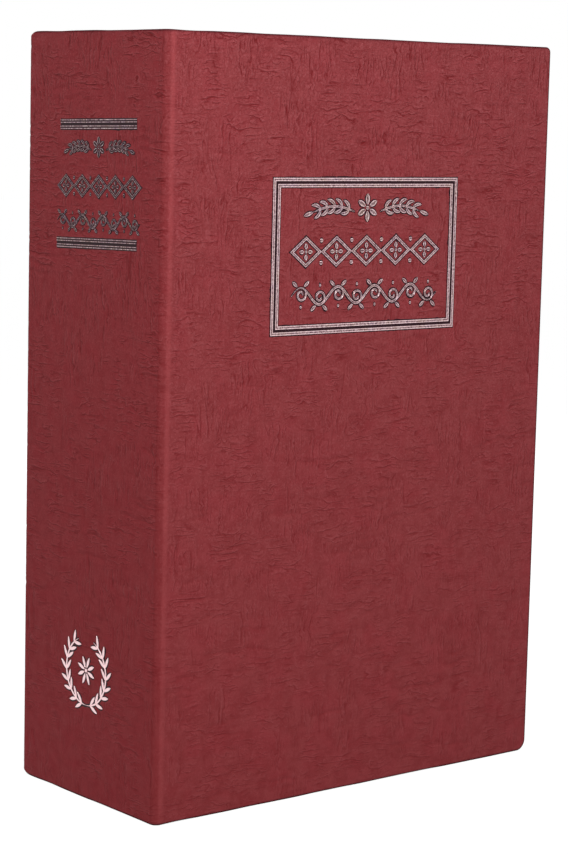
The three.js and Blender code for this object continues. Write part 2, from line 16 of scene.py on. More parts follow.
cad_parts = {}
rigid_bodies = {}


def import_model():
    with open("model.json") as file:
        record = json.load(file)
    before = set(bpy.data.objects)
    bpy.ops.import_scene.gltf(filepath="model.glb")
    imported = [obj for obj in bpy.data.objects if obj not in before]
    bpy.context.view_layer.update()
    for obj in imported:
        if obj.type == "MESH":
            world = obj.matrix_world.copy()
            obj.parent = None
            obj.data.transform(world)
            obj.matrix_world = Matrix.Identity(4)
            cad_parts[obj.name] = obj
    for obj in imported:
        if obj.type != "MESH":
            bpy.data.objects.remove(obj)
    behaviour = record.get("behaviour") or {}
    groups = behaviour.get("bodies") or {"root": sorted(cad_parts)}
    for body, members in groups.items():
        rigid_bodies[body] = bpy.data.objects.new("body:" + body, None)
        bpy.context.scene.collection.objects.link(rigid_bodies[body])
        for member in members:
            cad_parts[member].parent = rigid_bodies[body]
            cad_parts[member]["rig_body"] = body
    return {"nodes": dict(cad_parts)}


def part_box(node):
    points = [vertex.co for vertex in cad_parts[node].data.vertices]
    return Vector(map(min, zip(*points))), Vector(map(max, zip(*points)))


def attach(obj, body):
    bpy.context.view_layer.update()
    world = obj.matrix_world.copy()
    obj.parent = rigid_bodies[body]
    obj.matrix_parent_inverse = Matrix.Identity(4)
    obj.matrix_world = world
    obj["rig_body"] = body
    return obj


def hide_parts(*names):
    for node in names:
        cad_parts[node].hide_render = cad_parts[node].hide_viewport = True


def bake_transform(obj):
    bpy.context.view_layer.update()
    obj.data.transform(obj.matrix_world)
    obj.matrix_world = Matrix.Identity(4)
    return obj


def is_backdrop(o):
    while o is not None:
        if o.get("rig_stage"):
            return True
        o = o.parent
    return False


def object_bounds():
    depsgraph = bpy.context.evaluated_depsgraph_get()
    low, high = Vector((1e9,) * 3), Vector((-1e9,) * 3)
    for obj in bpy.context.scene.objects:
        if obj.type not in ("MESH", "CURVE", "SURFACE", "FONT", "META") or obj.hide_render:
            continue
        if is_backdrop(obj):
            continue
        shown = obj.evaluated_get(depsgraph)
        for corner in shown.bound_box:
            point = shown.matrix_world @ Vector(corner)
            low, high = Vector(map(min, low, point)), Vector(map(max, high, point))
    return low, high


MM = 0.001
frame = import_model()
nodes = frame["nodes"]
cad_low, cad_high = (list(corner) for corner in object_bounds())
LEFT, FRONT, FOOT = (round(value / MM, 3) for value in cad_low)
RIGHT, BACK, TOP = (round(value / MM, 3) for value in cad_high)
WIDTH, THICK = RIGHT - LEFT, BACK - FRONT
print("the book is", WIDTH, "x", THICK, "x", TOP, "mm and has", len(nodes), "solids")

# %% [markdown]
# ## Tools of the bench
# Blender can build a mesh vertex by vertex, but a surface worked out with numpy is shorter and exact:
# a grid of points, and quads between neighbours. The helpers below are all that the pieces share.

# %% Meshes from arrays of points and faces
SHARP = math.radians(38)


def reworked(mesh, change):
    """Opens a mesh for bmesh, lets a function change it there, and stores the result."""
    work = bmesh.new()
    work.from_mesh(mesh)
    change(work)
    work.to_mesh(mesh)
    work.free()
    return mesh


def mesh_from(name, points, faces):
    """A mesh from points in millimetres and faces as rows of point numbers, its faces turned outwards."""
    mesh = bpy.data.meshes.new(name)
    mesh.from_pydata((np.asarray(points, float) * MM).tolist(), [], faces)
    return reworked(mesh, lambda work: bmesh.ops.recalc_face_normals(work, faces=work.faces))


def points_of(mesh):
    """All vertices of a mesh, in millimetres, as an array of three columns."""
    flat = np.empty(len(mesh.vertices) * 3)
    mesh.vertices.foreach_get("co", flat)
    return flat.reshape(-1, 3) / MM


def box_of(node):
    """The low and the high corner of a CAD part's box, in millimetres."""
    return [np.array(corner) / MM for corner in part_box(node)]


def paint(mesh, name, values):
    """Stores one number for each vertex, which a material can read as an attribute."""
    layer = mesh.attributes.get(name) or mesh.attributes.new(name, "FLOAT", "POINT")
    layer.data.foreach_set("value", np.asarray(values, np.float32))


def show(mesh, name, material, body=None, stands_for=()):
    """Puts a finished mesh in the scene as one piece, smooth but for its real edges. A mesh that is
    painted already brings its own materials."""
    if material:
        mesh.materials.clear()
        mesh.materials.append(material)
    mesh.shade_smooth()
    mesh.set_sharp_from_angle(angle=SHARP)
    piece = bpy.data.objects.new(name, mesh)
    bpy.context.scene.collection.objects.link(piece)
    if body:
        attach(piece, body)
    if stands_for:
        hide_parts(*stands_for)
    return piece


def grid_faces(rows, columns, start=0):
    """Quads between neighbours of a grid whose points are numbered row by row from start."""
    corner = start + np.arange((rows - 1) * columns).reshape(rows - 1, columns)[:, :-1].ravel()
    return np.stack([corner, corner + 1, corner + columns + 1, corner + columns], 1)


def ring_faces(rings, around, start=0, closed=False):
    """Quads of a tube: the points are numbered ring by ring, and each ring closes on itself. A closed
    tube also joins its last ring to its first."""
    ring = start + np.arange(rings * around).reshape(rings, around)
    ahead = np.roll(ring, -1, axis=0)
    if not closed:
        ring, ahead = ring[:-1], ahead[:-1]
    quads = [ring, np.roll(ring, -1, axis=1), np.roll(ahead, -1, axis=1), ahead]
    return np.stack(quads, -1).reshape(-1, 4)


def slab(outer, inner):
    """A closed solid between two grids of points, given as arrays of rows by columns by three."""
    rows, columns = outer.shape[:2]
    count = rows * columns
    number = np.arange(count).reshape(rows, columns)
    rim = np.concatenate([number[0, :-1], number[:-1, -1], number[-1, :0:-1], number[:0:-1, 0]])
    after = np.roll(rim, -1)
    wall = np.stack([rim, after, after + count, rim + count], 1)
    faces = np.concatenate([grid_faces(rows, columns), grid_faces(rows, columns, count), wall])
    return mesh_from("slab", np.concatenate([outer.reshape(-1, 3), inner.reshape(-1, 3)]), faces.tolist())


# %% Stacks of outlines, and cuts
def stacked(outlines, heights, axis=1, closed=False):
    """A solid through a stack of outlines, given in the two other axes, each at its height on one axis.
    A closed stack joins its last outline to its first, as a ring does, and another has two flat ends."""
    outlines = np.asarray(outlines, float)
    rings, around = outlines.shape[:2]
    heights = np.broadcast_to(np.asarray(heights, float).reshape(rings, -1), (rings, around))
    points = np.insert(outlines, axis, heights, axis=2).reshape(-1, 3)
    number = np.arange(rings * around).reshape(rings, around)
    caps = [] if closed else [number[0].tolist(), number[-1].tolist()]
    return mesh_from("stack", points, ring_faces(rings, around, closed=closed).tolist() + caps)


def prism(outline, low, high, axis=1):
    """A solid whose outline is carried along one axis from low to high."""
    return stacked([outline, outline], [low, high], axis)


def rounded_outline(x0, x1, z0, z1, radius=0.0, steps=6):
    """A rectangle's outline whose corners are quarter circles: centre plus radius times cosine and sine."""
    if radius == 0:
        return np.array([[x0, z0], [x1, z0], [x1, z1], [x0, z1]])
    turns = np.linspace(0, math.pi / 2, steps)
    centres = [(x0, z0, math.pi), (x1, z0, 1.5 * math.pi), (x1, z1, 0), (x0, z1, math.pi / 2)]
    corners = []
    for x, z, start in centres:
        inside = np.array([x + radius * (1 if x == x0 else -1), z + radius * (1 if z == z0 else -1)])
        corners.append(inside + radius * np.stack([np.cos(start + turns), np.sin(start + turns)], 1))
    return np.concatenate(corners)


def block(x0, x1, z0, z1, low, high, radius=0.0):
    """A prism along y over a rectangle whose corners may be round."""
    return prism(rounded_outline(x0, x1, z0, z1, radius), low, high)


def carved(mesh, cuts, operation="DIFFERENCE"):
    """The mesh after the cuts are taken out of it, each by a Boolean modifier that is then applied."""
    scene_objects = bpy.context.scene.collection.objects
    block = bpy.data.objects.new("block", mesh)
    tools = [bpy.data.objects.new("tool", cut) for cut in cuts]
    for thing in [block, *tools]:
        scene_objects.link(thing)
    for tool in tools:
        modifier = block.modifiers.new("cut", "BOOLEAN")
        modifier.operation, modifier.object, modifier.solver = operation, tool, "MANIFOLD"
    graph = bpy.context.evaluated_depsgraph_get()
    result = bpy.data.meshes.new_from_object(block.evaluated_get(graph))
    for thing in [block, *tools]:
        bpy.data.objects.remove(thing)
    return result


# %% [markdown]
# ## The camera
# The photo was taken a little to the left of the book and just below its top edge. A camera fitted to
# the six corners that show gives the place and lens used here: a long lens, about 0.6 m away.

# %% Camera
AZIMUTH, ELEVATION, ROLL = -39.41, 7.54, 1.37
AIM, DISTANCE, LENS = (0, 1.65, 84.84), 598.7, 101.6


def direction(azimuth, elevation):
    """The way from the book towards an onlooker: azimuth 0 stands in front, elevation is the height."""
    a, e = math.radians(azimuth), math.radians(elevation)
    return Vector((math.sin(a) * math.cos(e), -math.cos(a) * math.cos(e), math.sin(e)))


camera = bpy.data.objects.new("camera", bpy.data.cameras.new("camera"))
bpy.context.scene.collection.objects.link(camera)
bpy.context.scene.camera = camera
camera.data.lens = LENS
towards = direction(AZIMUTH, ELEVATION)
camera.location = (Vector(AIM) + towards * DISTANCE) * MM
level = (-towards).to_track_quat("-Z", "Y").to_matrix()
camera.rotation_euler = (level @ Matrix.Rotation(math.radians(ROLL), 3, "Z")).to_euler()
print("camera at", [round(value / MM, 1) for value in camera.location], "mm")

# %% [markdown]
# ## Materials are small programs
# Blender could wrap a picture round the book, but a program of nodes has no pixels to run out of and
# knows its real size. One helper adds any node, and another turns the hex colours of everyday use into
# the linear ones that light is reckoned in.


# %% Node helpers
def linear(hex_colour):
    """sRGB hex to linear: a value above 0.04045 is ((v + 0.055) / 1.055) to the power 2.4."""
    values = [int(hex_colour[i:i + 2], 16) / 255 for i in (1, 3, 5)]
    return [v / 12.92 if v <= 0.04045 else ((v + 0.055) / 1.055) ** 2.4 for v in values] + [1.0]


def add(tree, kind, inputs=None, **settings):
    """Adds one node. Settings are its own properties, and each input is a value or another's socket."""
    node = tree.nodes.new("ShaderNode" + kind)
    for key, value in settings.items():
        setattr(node, key, value)
    for key, value in (inputs or {}).items():
        if isinstance(value, bpy.types.NodeSocket):
            tree.links.new(value, node.inputs[key])
        else:
            node.inputs[key].default_value = value
    return node


def new_material(name):
    """An empty material: returns it, its node tree, and the shader that its output shows."""
    material = bpy.data.materials.new(name)
    material.use_nodes = True
    tree = material.node_tree
    tree.nodes.clear()
    shader = add(tree, "BsdfPrincipled")
    add(tree, "OutputMaterial", {"Surface": shader.outputs["BSDF"]})
    return material, tree, shader


def feed(tree, shader, **inputs):
    """Sets the shader's inputs, named with underscores for spaces, to values or to sockets."""
    for key, value in inputs.items():
        socket = shader.inputs[key.replace("_", " ")]
        if isinstance(value, bpy.types.NodeSocket):
            tree.links.new(value, socket)
        else:
            socket.default_value = value


def attribute(tree, name):
    return add(tree, "Attribute", attribute_name=name).outputs["Fac"]


def place_of(tree):
    """The piece's own coordinates in metres, as sockets named X, Y and Z."""
    return add(tree, "SeparateXYZ", {0: add(tree, "TexCoord").outputs["Object"]}).outputs


def math_of(tree, operation, *values):
    return add(tree, "Math", dict(enumerate(values)), operation=operation).outputs[0]


def times(tree, first, second):
    return math_of(tree, "MULTIPLY", first, second)


def grain(tree, size, detail=2.0, shift=0.0, waver=0.0):
    """Noise in the piece's own coordinates, 0 to 1. Its hills are size millimetres wide, the same each
    way or three sizes along X, Y and Z. A shift moves the pattern, to have another like it, and waver
    bends its lines."""
    sizes = [size] * 3 if isinstance(size, (int, float)) else size
    place = add(tree, "TexCoord").outputs["Object"]
    scale = [1 / (length * MM) for length in sizes]
    moved = add(tree, "Mapping", {"Vector": place, "Scale": scale, "Location": [shift] * 3})
    inputs = {"Vector": moved.outputs["Vector"], "Scale": 1.0, "Detail": detail, "Distortion": waver}
    return add(tree, "TexNoise", inputs).outputs["Fac"]


def ramp(tree, value, low, high, start=0.0, end=1.0):
    """Carries value from the range low..high over to start..end, and holds it at both ends."""
    inputs = {"Value": value, "From Min": low, "From Max": high, "To Min": start, "To Max": end}
    return add(tree, "MapRange", inputs).outputs["Result"]


def painted(tree, name, off, full):
    """A painted attribute, 0 to 1, carried to off..full."""
    return ramp(tree, attribute(tree, name), 0, 1, off, full)


def layered(tree, colour, *layers):
    """Lays colours over a ground in turn, each by its share. A colour is a hex string or a socket."""
    for share, tint in layers:
        first, second = [linear(c) if isinstance(c, str) else c for c in (colour, tint)]
        colour = add(tree, "Mix", {0: share, 6: first, 7: second}, data_type="RGBA").outputs[2]
    return colour


def bumped(tree, height, depth, below=None):
    """Tilts the surface as if height, 0 to 1, were depth millimetres deep."""
    inputs = {"Height": height, "Distance": depth * MM, "Strength": 1.0}
    if below:
        inputs["Normal"] = below
    return add(tree, "Bump", inputs).outputs["Normal"]


# %% [markdown]
# ## Light and floor
# The book stands on a pale floor in a white room. A large soft lamp hangs above and beside the camera,
# so the fold that faces the camera is lightest, the front follows, and the spine is darkest. A second
# one, behind on the right, lights only the back and the fore-edge. The room is plain grey to the
# surfaces that it lights, and white to the camera and to anything glossy.

# %% Room, lamps and floor
ROOM_LIGHT = 0.47
KEY_WATTS, KEY_SIZE, KEY_DISTANCE = 2.75, 240, 570
KEY_AZIMUTH, KEY_ELEVATION = -33, 44
BACK_WATTS, BACK_SIZE, BACK_DISTANCE = 1.9, 300, 650
BACK_AZIMUTH, BACK_ELEVATION = 140, 22
FLOOR_GREY, FLOOR_GLOW, FLOOR_ROUGH, FLOOR_GLOSS = "#828282", 0.86, 0.9, 0.1
FLOOR_HALF = 3000


def seen_directly(tree):
    """1 for the camera's own rays and for reflected and transmitted ones, and 0 for light that falls."""
    path = add(tree, "LightPath").outputs
    seen = math_of(tree, "MAXIMUM", path["Is Camera Ray"], path["Is Glossy Ray"])
    return math_of(tree, "MAXIMUM", seen, path["Is Transmission Ray"])


room = bpy.data.worlds.new("room")
bpy.context.scene.world = room
room.use_nodes = True
tree = room.node_tree
tree.nodes.clear()
strength = ramp(tree, seen_directly(tree), 0, 1, ROOM_LIGHT, 1.0)
walls = add(tree, "Background", {"Color": linear("#ffffff"), "Strength": strength})
add(tree, "OutputWorld", {"Surface": walls.outputs["Background"]})


def soft_lamp(name, azimuth, elevation, distance, size, watts):
    """A square area lamp that hangs on a sphere round the book's middle and looks at it."""
    lamp = bpy.data.objects.new(name, bpy.data.lights.new(name, "AREA"))
    bpy.context.scene.collection.objects.link(lamp)
    lamp.data.size, lamp.data.energy = size * MM, watts
    away = direction(azimuth, elevation)
    lamp.location = (Vector((0, 0, TOP / 2)) + away * distance) * MM
    lamp.rotation_euler = away.to_track_quat("Z", "Y").to_euler()


soft_lamp("key_lamp", KEY_AZIMUTH, KEY_ELEVATION, KEY_DISTANCE, KEY_SIZE, KEY_WATTS)
soft_lamp("back_lamp", BACK_AZIMUTH, BACK_ELEVATION, BACK_DISTANCE, BACK_SIZE, BACK_WATTS)

floor_material, tree, shader = new_material("pale_floor")
glow = ramp(tree, seen_directly(tree), 0, 1, 0, FLOOR_GLOW)
feed(tree, shader, Base_Color=linear(FLOOR_GREY), Roughness=FLOOR_ROUGH, Specular_IOR_Level=FLOOR_GLOSS,
     Emission_Color=linear("#ffffff"), Emission_Strength=glow)
corners = [[x * FLOOR_HALF, y * FLOOR_HALF, FOOT] for x, y in ((-1, -1), (1, -1), (1, 1), (-1, 1))]
floor_mesh = mesh_from("floor", corners, [[0, 1, 2, 3]])
floor_mesh.materials.append(floor_material)
floor = bpy.data.objects.new("floor", floor_mesh)
bpy.context.scene.collection.objects.link(floor)
floor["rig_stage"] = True
bpy.context.scene.view_settings.view_transform = "Standard"

# %% [markdown]
# ## One sheet round the book
# A case maker covers front board, spine and back board with a single sheet of leatherette. So a point
# of the cover is known by s, its way along the sheet from the front's fore-edge round the spine to the
# back's, and by its height z. The grain then runs unbroken over both folds. The path's outside follows
# the spine's round corner in front and the sharper one behind, and its inside follows the boards.

# %% The path of the sheet
CLOTH, BOARD = 0.5, 2.0
WRAPPED = CLOTH + BOARD + CLOTH
TURN_IN = 14
FRONT_RADIUS, BACK_RADIUS = 2.0, 1.0
FOLD_WIDTH = 5.5
FOLD_THICK, LINING_THICK = 1.1, 0.4
QUARTER = math.pi / 2
COVER_X, SPINE_X = LEFT + FOLD_WIDTH, LEFT + WRAPPED
COVER_EDGE, SPINE_EDGE = WIDTH - FOLD_WIDTH, WIDTH - WRAPPED
FOLD_MIDDLE = (COVER_EDGE + SPINE_EDGE) / 2
CORNER = WIDTH - FRONT_RADIUS
SPINE = CORNER + FRONT_RADIUS * QUARTER
SPINE_END = SPINE + THICK - FRONT_RADIUS - BACK_RADIUS
BACK_COVER = SPINE_END + BACK_RADIUS * QUARTER
CASE_END = BACK_COVER + WIDTH - BACK_RADIUS


def smooth(value, low, high):
    """0 below low and 1 above high, with an S-shaped step between: 3 t squared less 2 t cubed."""
    t = np.clip((value - low) / (high - low), 0, 1)
    return t * t * (3 - 2 * t)


def outside_path(s):
    """x, y and turn of the outside: left along the front, a quarter turn, back along the spine, another
    quarter turn, and right along the back. Square to the face, inwards is (sine, cosine) of the turn."""
    first = np.clip((s - CORNER) / FRONT_RADIUS, 0, QUARTER)
    second = np.clip((s - SPINE_END) / BACK_RADIUS, 0, QUARTER)
    x = RIGHT - np.minimum(s, CORNER) - FRONT_RADIUS * np.sin(first)
    x = x + BACK_RADIUS * (1 - np.cos(second)) + np.maximum(s - BACK_COVER, 0)
    y = FRONT + FRONT_RADIUS * (1 - np.cos(first)) + np.clip(s - SPINE, 0, SPINE_END - SPINE)
    return x, y + BACK_RADIUS * np.sin(second), first + second


INSIDE_STOPS = np.array([
    [0, RIGHT, FRONT + WRAPPED],
    [COVER_EDGE, COVER_X, FRONT + WRAPPED],
    [COVER_EDGE + 0.9, COVER_X - 0.9, FRONT + FOLD_THICK],
    [SPINE_EDGE, SPINE_X, FRONT + FOLD_THICK],
    [SPINE + 1.5, SPINE_X, FRONT + FRONT_RADIUS + 1.5],
    [SPINE_END - 2.5, SPINE_X, BACK - BACK_RADIUS - 2.5],
    [(SPINE_END + BACK_COVER) / 2, SPINE_X, BACK - WRAPPED],
    [BACK_COVER + 3, LEFT + BACK_RADIUS + 3, BACK - WRAPPED],
    [CASE_END, RIGHT, BACK - WRAPPED],
])


def inside_path(s):
    """x and y of the inside: straight lines between the stops above."""
    stops, x, y = INSIDE_STOPS.T
    return np.interp(s, stops, x), np.interp(s, stops, y)


def sheet_place(x, y):
    """s and depth of points that lie on the case or in it, from the face that each is nearest to."""
    depths = np.stack([y - FRONT, x - LEFT, BACK - y])
    along = [RIGHT - x, SPINE + (y - FRONT - FRONT_RADIUS), BACK_COVER + (x - LEFT - BACK_RADIUS)]
    s = np.choose(depths.argmin(0), along)
    to_x, to_y = LEFT + FRONT_RADIUS - x, FRONT + FRONT_RADIUS - y
    s = np.where((to_x > 0) & (to_y > 0), CORNER + FRONT_RADIUS * np.arctan2(to_x, to_y), s)
    to_x, to_y = LEFT + BACK_RADIUS - x, y - (BACK - BACK_RADIUS)
    s = np.where((to_x > 0) & (to_y > 0), SPINE_END + BACK_RADIUS * np.arctan2(to_y, to_x), s)
    return s, depths.min(0)


print("the flat sheet is", round(CASE_END, 1), "mm long")

# %% [markdown]
# ## The emboss
# The leatherette is rolled with the print of crumpled linen: patches a centimetre wide in which fine
# creases run along the book, next to patches in which they run upright, over a pebbled ground. Plain
# noise makes blots and no lines, so numpy draws the mesh's creases: hills of random height, stretched
# along the patch, and a crease wherever the height passes zero.

# %% Noise and creases
PATCH = 13.0
CREASE_LENGTH, CREASE_SPACING, CREASE_WIDTH = 14.0, 2.3, 0.33
FINE_LENGTH, FINE_SPACING, FINE_SHARE = 4.2, 1.15, 0.4
WANDER, WANDER_SIZE, JITTER, JITTER_SIZE = 0.8, 3.1, 0.25, 1.1
SLOPE_STEP, LEAST_SLOPE = 0.08, 0.05
CREASE_DEPTH = 0.1
FACE_DEPTH = 0.12
LATTICE, LATTICE_SHIFT = 400, 40


def noise(s, z, size_s, size_z, seed):
    """Random heights from -1 to 1 on a lattice of size_s by size_z, joined by smooth steps."""
    u, v = s / size_s + LATTICE_SHIFT, z / size_z + LATTICE_SHIFT
    i, j = np.floor(u).astype(int), np.floor(v).astype(int)
    heights = np.random.default_rng(seed).uniform(-1, 1, (LATTICE, LATTICE))
    a, b = smooth(u - i, 0, 1), smooth(v - j, 0, 1)
    i, j = i % (LATTICE - 1), j % (LATTICE - 1)
    near = heights[i, j] * (1 - a) + heights[i + 1, j] * a
    far = heights[i, j + 1] * (1 - a) + heights[i + 1, j + 1] * a
    return near * (1 - b) + far * b


def lines(along, across, length, spacing, seed):
    """Creases that run along one way: 1 where stretched hills pass zero, falling off as a bell curve of
    the distance (height over slope), and weak where the line would turn across."""
    height = noise(along, across, length, spacing, seed)
    up = (noise(along, across + SLOPE_STEP, length, spacing, seed) - height) / SLOPE_STEP
    on = (noise(along + SLOPE_STEP, across, length, spacing, seed) - height) / SLOPE_STEP
    slope = np.hypot(up, on) + LEAST_SLOPE
    bell = np.exp(-(height / slope / CREASE_WIDTH) ** 2)
    fades = smooth(noise(along, across, length * 0.6, spacing * 1.7, seed + 50), -0.35, 0.35)
    return bell * (up / slope) ** 2 * fades


def creases(s, z):
    """How strongly a point is creased, 0 to about 1: wandering lines, along in one patch, upright in
    the next, with a finer set under them."""
    def moved(way, seed):
        way = way + WANDER * noise(s, z, WANDER_SIZE, WANDER_SIZE, seed)
        return way + JITTER * noise(s, z, JITTER_SIZE, JITTER_SIZE, seed + 1)

    def both_sizes(on, over, seed):
        fine = FINE_SHARE * lines(on, over, FINE_LENGTH, FINE_SPACING, seed + 1)
        return lines(on, over, CREASE_LENGTH, CREASE_SPACING, seed) + fine

    s_there, z_there = moved(s, 11), moved(z, 13)
    patch = smooth(noise(s, z, PATCH, PATCH, 15), -0.33, 0.03)
    along, upright = both_sizes(s_there, z_there, 16), both_sizes(z_there, s_there, 18)
    return np.clip(patch * along + (1 - patch) * upright, 0, 1)


def band(s, low, high, soft):
    """1 from low to high along the sheet and 0 outside, with S-shaped steps of the soft width."""
    return smooth(s, low - soft, low) * (1 - smooth(s, high, high + soft))


def ironed_fold(s):
    """1 on the soft fold and the spine's front corner, where the emboss is ironed flat, 0 elsewhere."""
    return band(s, COVER_EDGE + 3.4, SPINE - 2.4, 1.8)


# %% [markdown]
# ## Leatherette as a material
# It is cloth coated with red PVC and embossed, with a soft sheen. Its colour holds painted light: painted
# shade in the creases, furrows and wrinkles and painted highlights on the ridges and crests, both stronger
# towards the head, where the lamp grazes; a lighter head; a pale fold, partly rubbed and partly a painted
# highlight; painted shade on the spine and on the corner that turns towards it; and a painted dark rim at
# the outline. Its furrows are finer than the mesh, so the material draws them: the way across the lines
# over their spacing, bent by noise, and a furrow wherever its fraction is one half, with a pale ridge on
# its lit side. Fine wrinkles lie between them. A furrow is darker by as much in red, green and blue, so the
# deep red is purer than the ground.

# %% Leatherette
# Some of these reds paint light: the fold's pale red is rubbing and a painted highlight, the spine's red is
# painted shade, the rim's dark red is a painted dark rim, and the light and deep reds also paint highlights
# and shade on the marks.
RED, WARM_RED, DEEP_RED, LIGHT_RED = "#8d393c", "#92343a", "#6a1014", "#b06266"
WORN_AND_SHEEN_RED, RIM_SHADE_RED, SPINE_SHADE_RED = "#a4484b", "#33151a", "#901a24"
LONG_MARK, SHORT_MARK = (2.3, 20.0, 0.3), (1.15, 6.0, 0.24)
MARK_WANDER, SHORT_SHARE = 3.4, 0.8
WRINKLE, WRINKLE_BREADTH = 1.5, 0.045
PEBBLE_DEPTH, MARK_DEPTH = 0.08, 0.07
# Strengths at the foot and at the head, where the lamp grazes: of the marks' painted shade and highlights,
# of the furrows' painted shade and ridges' painted highlights, and of the fold's pale band.
LIT_HEAD_CONTRAST, LIT_HEAD_FURROWS, RUBBED_AND_LIT = (0.26, 1.2), (0.58, 1.18), (0.28, 0.62)
SHEEN_LEVEL = 0.08


def near(tree, value, middle, breadth):
    """1 where a value is at its middle, and 0 from breadth away: it turns a slope into a line."""
    away = math_of(tree, "ABSOLUTE", math_of(tree, "SUBTRACT", value, middle))
    return ramp(tree, away, 0.0, breadth, 1, 0)


def way_across(tree, upright):
    """The way across the lines, in metres: up the book, or along the sheet, where x or y stands still."""
    place = place_of(tree)
    if upright:
        return times(tree, math_of(tree, "ADD", place["X"], place["Y"]), -1.0)
    return place["Z"]


def marks_along(tree, spacing, length, breadth, upright, shift):
    """Furrows that run one way, each with a ridge beside it, where the light comes from. They lie where
    the way over the spacing, plus noise that is stretched along the lines, has a fraction of one half."""
    def stretched(on, over):
        return (over, over, on) if upright else (on, on, over)

    hills = grain(tree, stretched(0.6 * length, 2 * spacing), 3, shift, 0.8)
    way = math_of(tree, "MULTIPLY_ADD", way_across(tree, upright), 1 / (spacing * MM),
                  times(tree, hills, MARK_WANDER))
    share = math_of(tree, "FRACT", way)
    fades = ramp(tree, grain(tree, stretched(0.5 * length, 1.3 * spacing), 1, shift + 10), 0.4, 0.5)
    reach = breadth / spacing
    return [times(tree, near(tree, share, middle, reach), fades) for middle in (0.5, 0.5 + reach)]


def crumple(tree):
    """Furrows and ridges that run along in one patch and upright in the next, as in crumpled linen."""
    patch = ramp(tree, grain(tree, PATCH, 0, 3), 0.43, 0.51)
    broken = ramp(tree, grain(tree, 5.5, 1, 7), 0.38, 0.54, 0.12, 1)
    sides = []
    for upright in (False, True):
        share = math_of(tree, "SUBTRACT", 1.0, patch) if upright else patch
        long_ones = marks_along(tree, *LONG_MARK, upright, 1 + upright)
        short_ones = marks_along(tree, *SHORT_MARK, upright, 3 + upright)
        both = [math_of(tree, "MAXIMUM", first, times(tree, second, SHORT_SHARE))
                for first, second in zip(long_ones, short_ones)]
        sides.append([times(tree, share, marks) for marks in both])
    return [times(tree, math_of(tree, "ADD", *pair), broken) for pair in zip(*sides)]


def near_the_head(tree, at_foot, at_head):
    """A strength that grows evenly from the book's foot to its head, where the lamp grazes the cover. The
    pairs above give both ends: how strong the painted shade and highlights of wrinkles and furrows are,
    and how pale the fold is, by rubbing and painted highlight."""
    return ramp(tree, place_of(tree)["Z"], FOOT * MM, TOP * MM, at_foot, at_head)


def leather_material(name, sheen_level):
    """The leatherette, with as much gloss as the given level. The rim gets none, for it is rubbed dull."""
    material, tree, shader = new_material(name)
    # Painted light: the marks' painted shade and highlights grow towards the lit head and are weaker on the
    # spine.
    mark_strength = times(tree, near_the_head(tree, *LIT_HEAD_CONTRAST), painted(tree, "spine", 1, 0.7))
    # The furrows' painted shade and the ridges' painted highlights grow towards the head, and are weaker on
    # the ironed fold.
    pressed = times(tree, near_the_head(tree, *LIT_HEAD_FURROWS), painted(tree, "ironed", 1, 0.4))
    furrows, ridges = [times(tree, marks, pressed) for marks in crumple(tree)]
    crinkle = grain(tree, WRINKLE, 1, 21, 0.9)
    wrinkles, crests = [times(tree, near(tree, crinkle, middle, WRINKLE_BREADTH), mark_strength)
                        for middle in (0.5, 0.5 + 1.2 * WRINKLE_BREADTH)]
    specks = grain(tree, 0.55, 2, 5)
    # The fold's pale band: rubbing wear and a painted highlight that grows towards the head.
    rubbed = times(tree, attribute(tree, "rubbed"), near_the_head(tree, *RUBBED_AND_LIT))
    colour = layered(
        tree, RED,
        (ramp(tree, grain(tree, 6, 1), 0.42, 0.68, 0, 0.5), WARM_RED),
        (ramp(tree, grain(tree, 2.6, 2), 0.36, 0.6, 0.26, 0), DEEP_RED),
        # Painted light: the cover grows lighter towards the head, where the lamp falls.
        (near_the_head(tree, 0, 0.11), LIGHT_RED),
        # Painted shade on the spine.
        (painted(tree, "spine", 0, 0.3), SPINE_SHADE_RED),
        (times(tree, ramp(tree, specks, 0.3, 0.5, 0.16, 0), mark_strength), DEEP_RED),
        (times(tree, ramp(tree, specks, 0.55, 0.75, 0, 0.3), mark_strength), LIGHT_RED),
        # Painted shade in the wrinkles, furrows and creases, and painted highlights on the crests and
        # ridges.
        (times(tree, wrinkles, 0.32), DEEP_RED),
        (times(tree, crests, 0.16), LIGHT_RED),
        (times(tree, ridges, 0.2), LIGHT_RED),
        (times(tree, furrows, 0.72), DEEP_RED),
        (ramp(tree, attribute(tree, "crease"), 0.03, 0.7, 0, 0.16), DEEP_RED),
        # Painted shade on the corner where it turns towards the spine.
        (painted(tree, "turned", 0, 0.26), DEEP_RED),
        # Rubbing wear and painted highlight on the fold.
        (times(tree, rubbed, ramp(tree, grain(tree, 1.4, 2, 12), 0.35, 0.65, 0.7, 1.1)), WORN_AND_SHEEN_RED),
        # A painted dark rim along the outline.
        (painted(tree, "edge", 0, 0.9), RIM_SHADE_RED))
    pebbles = bumped(tree, times(tree, grain(tree, 0.7, 3), mark_strength), PEBBLE_DEPTH)
    sunk = math_of(tree, "MAXIMUM", furrows, times(tree, wrinkles, 0.6))
    raised = ramp(tree, math_of(tree, "SUBTRACT", ridges, sunk), -1, 1)
    feed(tree, shader, Base_Color=colour, Roughness=ramp(tree, grain(tree, 3, 2), 0.3, 0.7, 0.5, 0.62),
         Specular_IOR_Level=sheen_level, Normal=bumped(tree, raised, MARK_DEPTH, below=pebbles))
    return material


leatherette = leather_material("embossed_leatherette", SHEEN_LEVEL)
rubbed_rim = leather_material("leatherette_rubbed_dull", 0.0)

# %% [markdown]
# ## A skin with room for its board
# Each stretch of the case starts as a slab: a fine grid for the face, another for the inside, and a
# wall round the rim. The face falls away in a quarter circle at the outline, because cloth pulled over
# a board's edge rounds it. Then the board's room and the window between the turned-in edges are cut.

